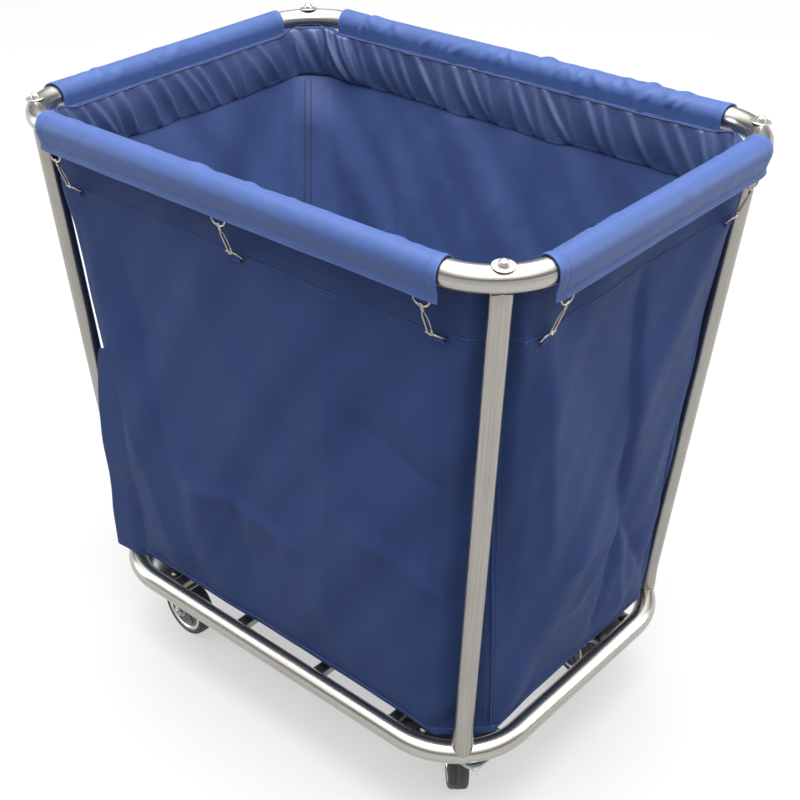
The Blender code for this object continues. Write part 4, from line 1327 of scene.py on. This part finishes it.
def make_band(wall):
    """The facing inside the top of the bag: gathered in slanting pleats between its two seams."""
    rng = random.Random(23)
    columns = wall.columns * BAND_STEPS
    column = np.arange(columns) / BAND_STEPS
    seam_row = wall.row_at(BAND_Z)
    step = COLUMN_STEP / BAND_STEPS
    length = columns * step
    shares = np.linspace(0.0, 1.0, BAND_ROWS)
    pleats = []
    place = 0.0
    while place < length - 0.02:
        pleats.append((place, *(rng.uniform(*span) for span in (PLEAT_HEIGHT, PLEAT_WIDTH, PLEAT_SLANT))))
        place += rng.uniform(*PLEAT_SPACING)
    rear_left = 2 * COLUMN_STARTS[3] * COLUMN_STEP
    pleats += [(rear_left + shift, *BULKY_PLEAT) for shift in (-0.032, -0.008, 0.020, 0.050)]
    run = np.arange(columns) * step
    puff = 0.0012 * waves(run, rng, 4, 0.35, 0.07)
    inner, outer = [], []
    for share in shares:
        lift = puff * math.sin(math.pi * share)
        for centre, height, width, slant in pleats:
            middle = centre + slant * share
            distance = (run - middle + length / 2) % length - length / 2
            arch = math.sin(math.pi * min(1.0, 0.08 + 0.92 * share)) ** 0.6 if share < 1 else 0.0
            lift = lift + height * arch * bell(distance, np.where(distance > 0, 3.4 * width, width))
        sag = 0.0022 * waves(run, random.Random(9), 5, 0.28, 0.05) * share
        row = np.full(columns, 0.3 + (seam_row + 0.4 - 0.3) * share) + sag / 0.0074
        base = CLOTH_T / 2 + 0.0008 + 0.0022 * math.sin(math.pi * share)
        inner.append(wall.at(column, row, -(base + 0.0010 + np.maximum(lift, -0.001))))
        outer.append(wall.at(column, row, -(base + np.maximum(lift, -0.001))))
    points = np.array(inner + outer[::-1]).swapaxes(0, 1)
    band = grid_piece("facing_band", points, "facing", closed_i=True, closed_j=True, sharp=70.0)
    fit(band, "frame", "canvas")
    path = wall.at(column[::2], seam_row - 0.2, -(CLOTH_T / 2 + 0.0024))
    thread = stitches("facing_stitching", path)
    fit(thread, "frame", "canvas")
    return band, thread


# ---------------------------------------------------------------- flaps

FLAP_WRINKLES = {"front": (9, 0.0009), "right": (9, 0.0010), "left": (11, 0.0014), "back": (34, 0.0026)}
FRONT_POCKET = ((-0.045, 2.0, 0.0024, 0.012, 0.012), (0.040, 2.3, 0.0019, 0.010, -0.015))
FLAP_SECTION_STEPS = 50
FLAP_COLUMN_STEP = 0.0016
END_HEM_WIDTH = 0.0075


def flap_section(count):
    """Points of the flap's section from its outer hem as (angle, run beyond the arc, run so far)."""
    inner_drop = TOP_Z - SEAM_Z + 0.0060
    arch = (math.pi + FLAP_TUCK) * FLAP_R
    total = FLAP_DROP + arch + inner_drop
    rows = []
    for k in range(count):
        run = total * k / (count - 1)
        if run < FLAP_DROP:
            rows.append((-FLAP_TUCK, FLAP_DROP - run, run))
        elif run < FLAP_DROP + arch:
            rows.append(((run - FLAP_DROP) / FLAP_R - FLAP_TUCK, 0.0, run))
        else:
            rows.append((math.pi, run - FLAP_DROP - arch, run))
    return rows, total


def make_flap(side):
    """A sleeve of doubled cloth folded over the rail, hemmed at its foot and at both ends."""
    rng = random.Random(100 + SIDES[side])
    out_axis, along_axis = local_frame(side)
    is_short = side in ("right", "left")
    out_at = TOP_HALF_X if is_short else TOP_HALF_Y
    straight = (TOP_HALF_Y if is_short else TOP_HALF_X) - TOP_CORNER
    reach = FLAP_ENDS[side]
    places = np.linspace(-reach, reach, int(reach / FLAP_COLUMN_STEP))
    section, total = flap_section(FLAP_SECTION_STEPS)
    wrinkle_count, wrinkle_height = FLAP_WRINKLES[side]
    wrinkles = []
    for _ in range(wrinkle_count):
        centre = rng.uniform(-reach * 0.95, reach * 0.95)
        angle = rng.uniform(1.7, 3.0) if rng.random() < 0.75 else rng.uniform(0.2, 1.2)
        height = wrinkle_height * rng.uniform(0.5, 1.3)
        wrinkles.append((centre, angle, height, rng.uniform(0.004, 0.010), rng.uniform(-0.018, 0.018)))
    if side == "front":
        wrinkles += FRONT_POCKET
    belly = waves(places, rng, 4, 0.46, 0.11)
    hem_wave = waves(places, rng, 4, 0.33, 0.06)
    hooks = [JOINTS[f"hook_swing_{side}_{n}"]["pos_m"] for n in range(1, HOOK_COUNT[side] + 1)]
    hook_places = [float(np.array(p) @ along_axis) for p in hooks]
    pull = sum(bell(places - at, 0.022) for at in hook_places)
    faces = {1: [], -1: []}
    bend = np.sign(places) * np.maximum(np.abs(places) - straight, 0.0) / TOP_CORNER
    base_along = np.clip(places, -straight, straight) + TOP_CORNER * np.sin(bend)
    base_out = out_at - TOP_CORNER * (1 - np.cos(bend))
    end_hem = smooth((END_HEM_WIDTH - (reach - np.abs(places))) / 0.0008)
    for angle, beyond, run in section:
        heading = -1.0 if run < FLAP_DROP else 1.0
        out_base = FLAP_R * math.cos(angle) - heading * math.sin(angle) * beyond
        up_base = FLAP_R * math.sin(angle) + heading * math.cos(angle) * beyond
        hang = smooth((FLAP_DROP - run) / FLAP_DROP)
        crown = math.sin(min(max(angle, 0.0), math.pi))
        lift = 0.0006 * belly * (0.35 + 0.65 * hang) + 0.0006 * (1 - crown) * (hang > 0)
        for centre, where, height, width, slant in wrinkles:
            distance = places - centre - slant * (angle - where)
            trough = 0.55 * bell(distance - 1.9 * width, width)
            lift = lift + height * bell(angle - where, 0.62) * (bell(distance, width) - trough)
        lift = np.maximum(lift, -0.0009)
        flare = HEM_FLARE * smooth((HEM_WIDTH - run) / HEM_WIDTH)
        draw = hang * (0.0008 * hem_wave - 0.0003 * pull) + flare
        out_here = out_base + math.cos(angle) * lift + draw
        up_here = up_base + math.sin(angle) * lift - hang * (0.0009 * pull - 0.0006 * hem_wave)
        doubled = smooth((HEM_WIDTH - run) / 0.0008)
        for face, sheets in ((1, 0.00075 + 0.0006 * np.maximum(doubled, end_hem)), (-1, 0.0006)):
            shift = face * sheets
            flat_out = out_here + shift * math.cos(angle)
            flat_up = up_here + shift * math.sin(angle)
            edge_along = base_along + np.sin(bend) * flat_out
            edge_out = base_out + np.cos(bend) * flat_out
            points = edge_out[:, None] * out_axis + edge_along[:, None] * along_axis
            points[:, 2] += TOP_Z + flat_up
            faces[face].append(points)
    grid = np.array(faces[1] + faces[-1][::-1]).swapaxes(0, 1)
    flap = grid_piece(f"flap_{side}", grid, "flap", closed_j=True, cap=True, sharp=75.0)
    fit(flap, "frame", "flap_canvas", f"bag_flap_{side}")
    outer = np.array(faces[1])
    step = total / (FLAP_SECTION_STEPS - 1)
    row = (HEM_WIDTH - 0.0022) / step
    low, part = int(row), row - int(row)
    hem_line = outer[low] * (1 - part) + outer[low + 1] * part + 0.0001 * out_axis
    lines = [hem_line[4:-4], outer[-2, 4:-4]]
    lines += [outer[: int(len(outer) * 0.97), place] for place in (4, -5)]
    thread = joined(f"flap_stitching_{side}", [stitches("stitch", line) for line in lines])
    fit(thread, "frame", "flap_canvas")


# ---------------------------------------------------------------- snap hooks and rings

def ring_points(half_w, height, steps=26):
    """A D: a straight side along Y at the origin and a bow that rises along Z."""
    bow = []
    for k in range(steps + 1):
        angle = math.pi * k / steps
        y = half_w * math.copysign(abs(math.cos(angle)) ** 0.75, math.cos(angle))
        bow.append((0.0, y, height * (0.10 + 0.90 * max(math.sin(angle), 0.0) ** 0.85)))
    corner = 0.10 * height
    ends = [(0.0, -half_w + corner * 0.35, corner * 0.3), (0.0, -half_w + corner, 0.0)]
    flat = [(0.0, y, 0.0) for y in np.linspace(-half_w + 2 * corner, half_w - 2 * corner, 6)]
    ends_after = [(0.0, half_w - corner, 0.0), (0.0, half_w - corner * 0.35, corner * 0.3)]
    return np.array(bow + ends + flat + ends_after)


def make_ring(height, tilt, place):
    """A D-ring tilted about its straight side; 0 is upright."""
    ring = tube("ring", ring_points(RING_HALF_W, height), WIRE_R, "chrome", 12, closed=True)
    return placed(ring, place @ Matrix.Rotation(tilt, 4, "Y"))


def hook_pieces(mirror):
    """A snap hook hung from an eye at the origin: body, hooked bar, sprung gate and its knuckle."""
    foot = -HOOK_LENGTH + 0.0012 + WIRE_R
    eye = [(0.0, EYE_R * math.sin(a), EYE_R * math.cos(a)) for a in np.linspace(0, 2 * math.pi, 22)[:-1]]
    eye_piece = tube("eye", np.array(eye), 0.0010, "chrome", 10, closed=True)
    neck = [(0.0018, -0.0036), (0.0023, -0.0044), (0.0023, -0.0078), (0.0017, -0.0088)]
    neck_piece = turned("neck", [(0.0, -0.0030)] + neck + [(0.0, -0.0092)], "chrome", 20)
    bend = HOOK_BEND_R
    bar = [(0.0, 0.0, -0.0070), (0.0, -0.0012, -0.0100), (0.0, -0.0030, -0.0135), (0.0, -bend, -0.0180)]
    centre = foot + bend
    bar += [(0.0, -bend, z) for z in np.linspace(-0.022, centre, 5)]
    bar += [(0.0, -bend * math.cos(a), centre - bend * math.sin(a)) for a in np.linspace(0.25, math.pi, 10)]
    bar += [(0.0, bend, centre + 0.0030)]
    bar_piece = tube("bar", np.array(bar), WIRE_R, "chrome", 12)
    tip = centre + 0.0048
    ball = dome_profile(BEAD_R, BEAD_R, 0.0) + dome_profile(BEAD_R, -BEAD_R, 0.0)[::-1]
    bead = placed(turned("bead", ball, "chrome", 16), Matrix.Translation((0.0, bend, tip)))
    gate = [(0.0, bend, tip + 0.0012), (0.0, 0.0040, -0.0260), (0.0, 0.0030, -0.0150), (0.0, 0.0014, -0.0108)]
    gate_piece = tube("gate", np.array(gate), GATE_WIRE_R, "chrome", 10)
    pieces = [eye_piece, neck_piece, bar_piece, bead, gate_piece]
    if mirror:
        for piece in pieces:
            placed(piece, Matrix.Diagonal((1, -1, 1, 1)))
            piece.data.flip_normals()
    return pieces


def tab_piece(width, low, high, thick, material):
    """A folded strip of cloth whose lower end loops round a ring's straight side."""
    loop_r = WIRE_R + 0.0010
    turns = np.linspace(-0.35 * math.pi, 1.35 * math.pi, 12) + math.pi
    outline = [(loop_r * math.cos(a), low + loop_r * math.sin(a)) for a in turns]
    middle = (low + high) / 2
    outline += [(-thick * 1.4, middle), (-thick, high), (-thick * 0.2, high), (0.0, middle)]
    outline = np.array(outline)
    eased = outline + (outline.mean(0) - outline) * (0.12, 0.02)
    edge = 0.0004
    stations = [(-width / 2, eased), (-width / 2 + edge, outline), (-width / 6, outline)]
    stations += [(-y, section) for y, section in reversed(stations)]
    grid = [np.insert(section, 1, y, axis=1) for y, section in stations]
    return grid_piece("tab", np.array(grid), material, closed_j=True, cap=True, sharp=60.0)


def make_hooks(wall):
    """Hooks on their own bodies; the rings they link, and the tabs that hold those, on the frame."""
    for side in SIDE_ORDER:
        out_axis, along_axis = local_frame(side)
        turn = Matrix.Rotation(math.radians(SIDES[side]), 4, "Z")
        upper, lower, tabs = [], [], []
        for number in range(1, HOOK_COUNT[side] + 1):
            hinge = Vector(JOINTS[f"hook_swing_{side}_{number}"]["pos_m"])
            at = Matrix.Translation(hinge) @ turn
            lean = Matrix.Rotation(HOOK_TILT, 4, "Y")
            pieces = hook_pieces(mirror=side in ("right", "left"))
            hook = placed(joined(f"hook_{side}_{number}_steel", pieces), at @ lean)
            fit(hook, f"hook_{side}_{number}", "hook_chrome", f"snap_hook_{side}_{number}")

            upper_flat = Matrix.Translation((0.0, 0.0, RING_HEIGHT))
            upper.append(make_ring(RING_HEIGHT, math.pi, at @ upper_flat))
            tab = tab_piece(0.0195, RING_HEIGHT, RING_HEIGHT + 0.010, 0.0012, "flap")
            tabs.append(placed(tab, at))

            along = float(np.array(hinge) @ along_axis)
            reach = HOOK_LENGTH - 0.0045
            flat_z = OUTER_SEAM_Z - 0.0020
            anchor = wall.at(wall.column_at(side, along, flat_z), wall.row_at(flat_z), CLOTH_T / 2 + 0.0022)
            away = float(anchor @ out_axis) - float(np.array(hinge) @ out_axis)
            below = float(anchor[2]) - hinge.z
            rise = -reach * math.cos(HOOK_TILT) - below
            run = -reach * math.sin(HOOK_TILT) - away
            base = at @ Matrix.Translation((away, 0.0, below))
            lower.append(make_ring(math.hypot(run, rise), math.atan2(run, rise), base))
            patch = tab_piece(0.0150, 0.0, -0.008, 0.0010, "canvas")
            tabs.append(placed(patch, base))
        groups = {"upper_rings": (upper, "hook_chrome"), "lower_rings": (lower, "hook_chrome")}
        groups["ring_tabs"] = (tabs, "canvas")
        for name, (group, slot) in groups.items():
            fit(joined(f"{name}_{side}", group), "frame", slot)


# ---------------------------------------------------------------- the whole cart

make_camera()
make_world()
for light_name, light_settings in LIGHTS.items():
    make_light(light_name, *light_settings)
make_floor()
bpy.context.scene.view_settings.view_transform = "Standard"

make_rails()
make_legs()
make_cross_bars()
make_corner_bolts()
make_plates()
make_forks()
bag, bag_wall = make_bag()
seam_pieces = make_seams(bag_wall) + [make_corner_ear(bag_wall)]
band, band_thread = make_band(bag_wall)
for flap_side in SIDE_ORDER:
    make_flap(flap_side)
make_hooks(bag_wall)
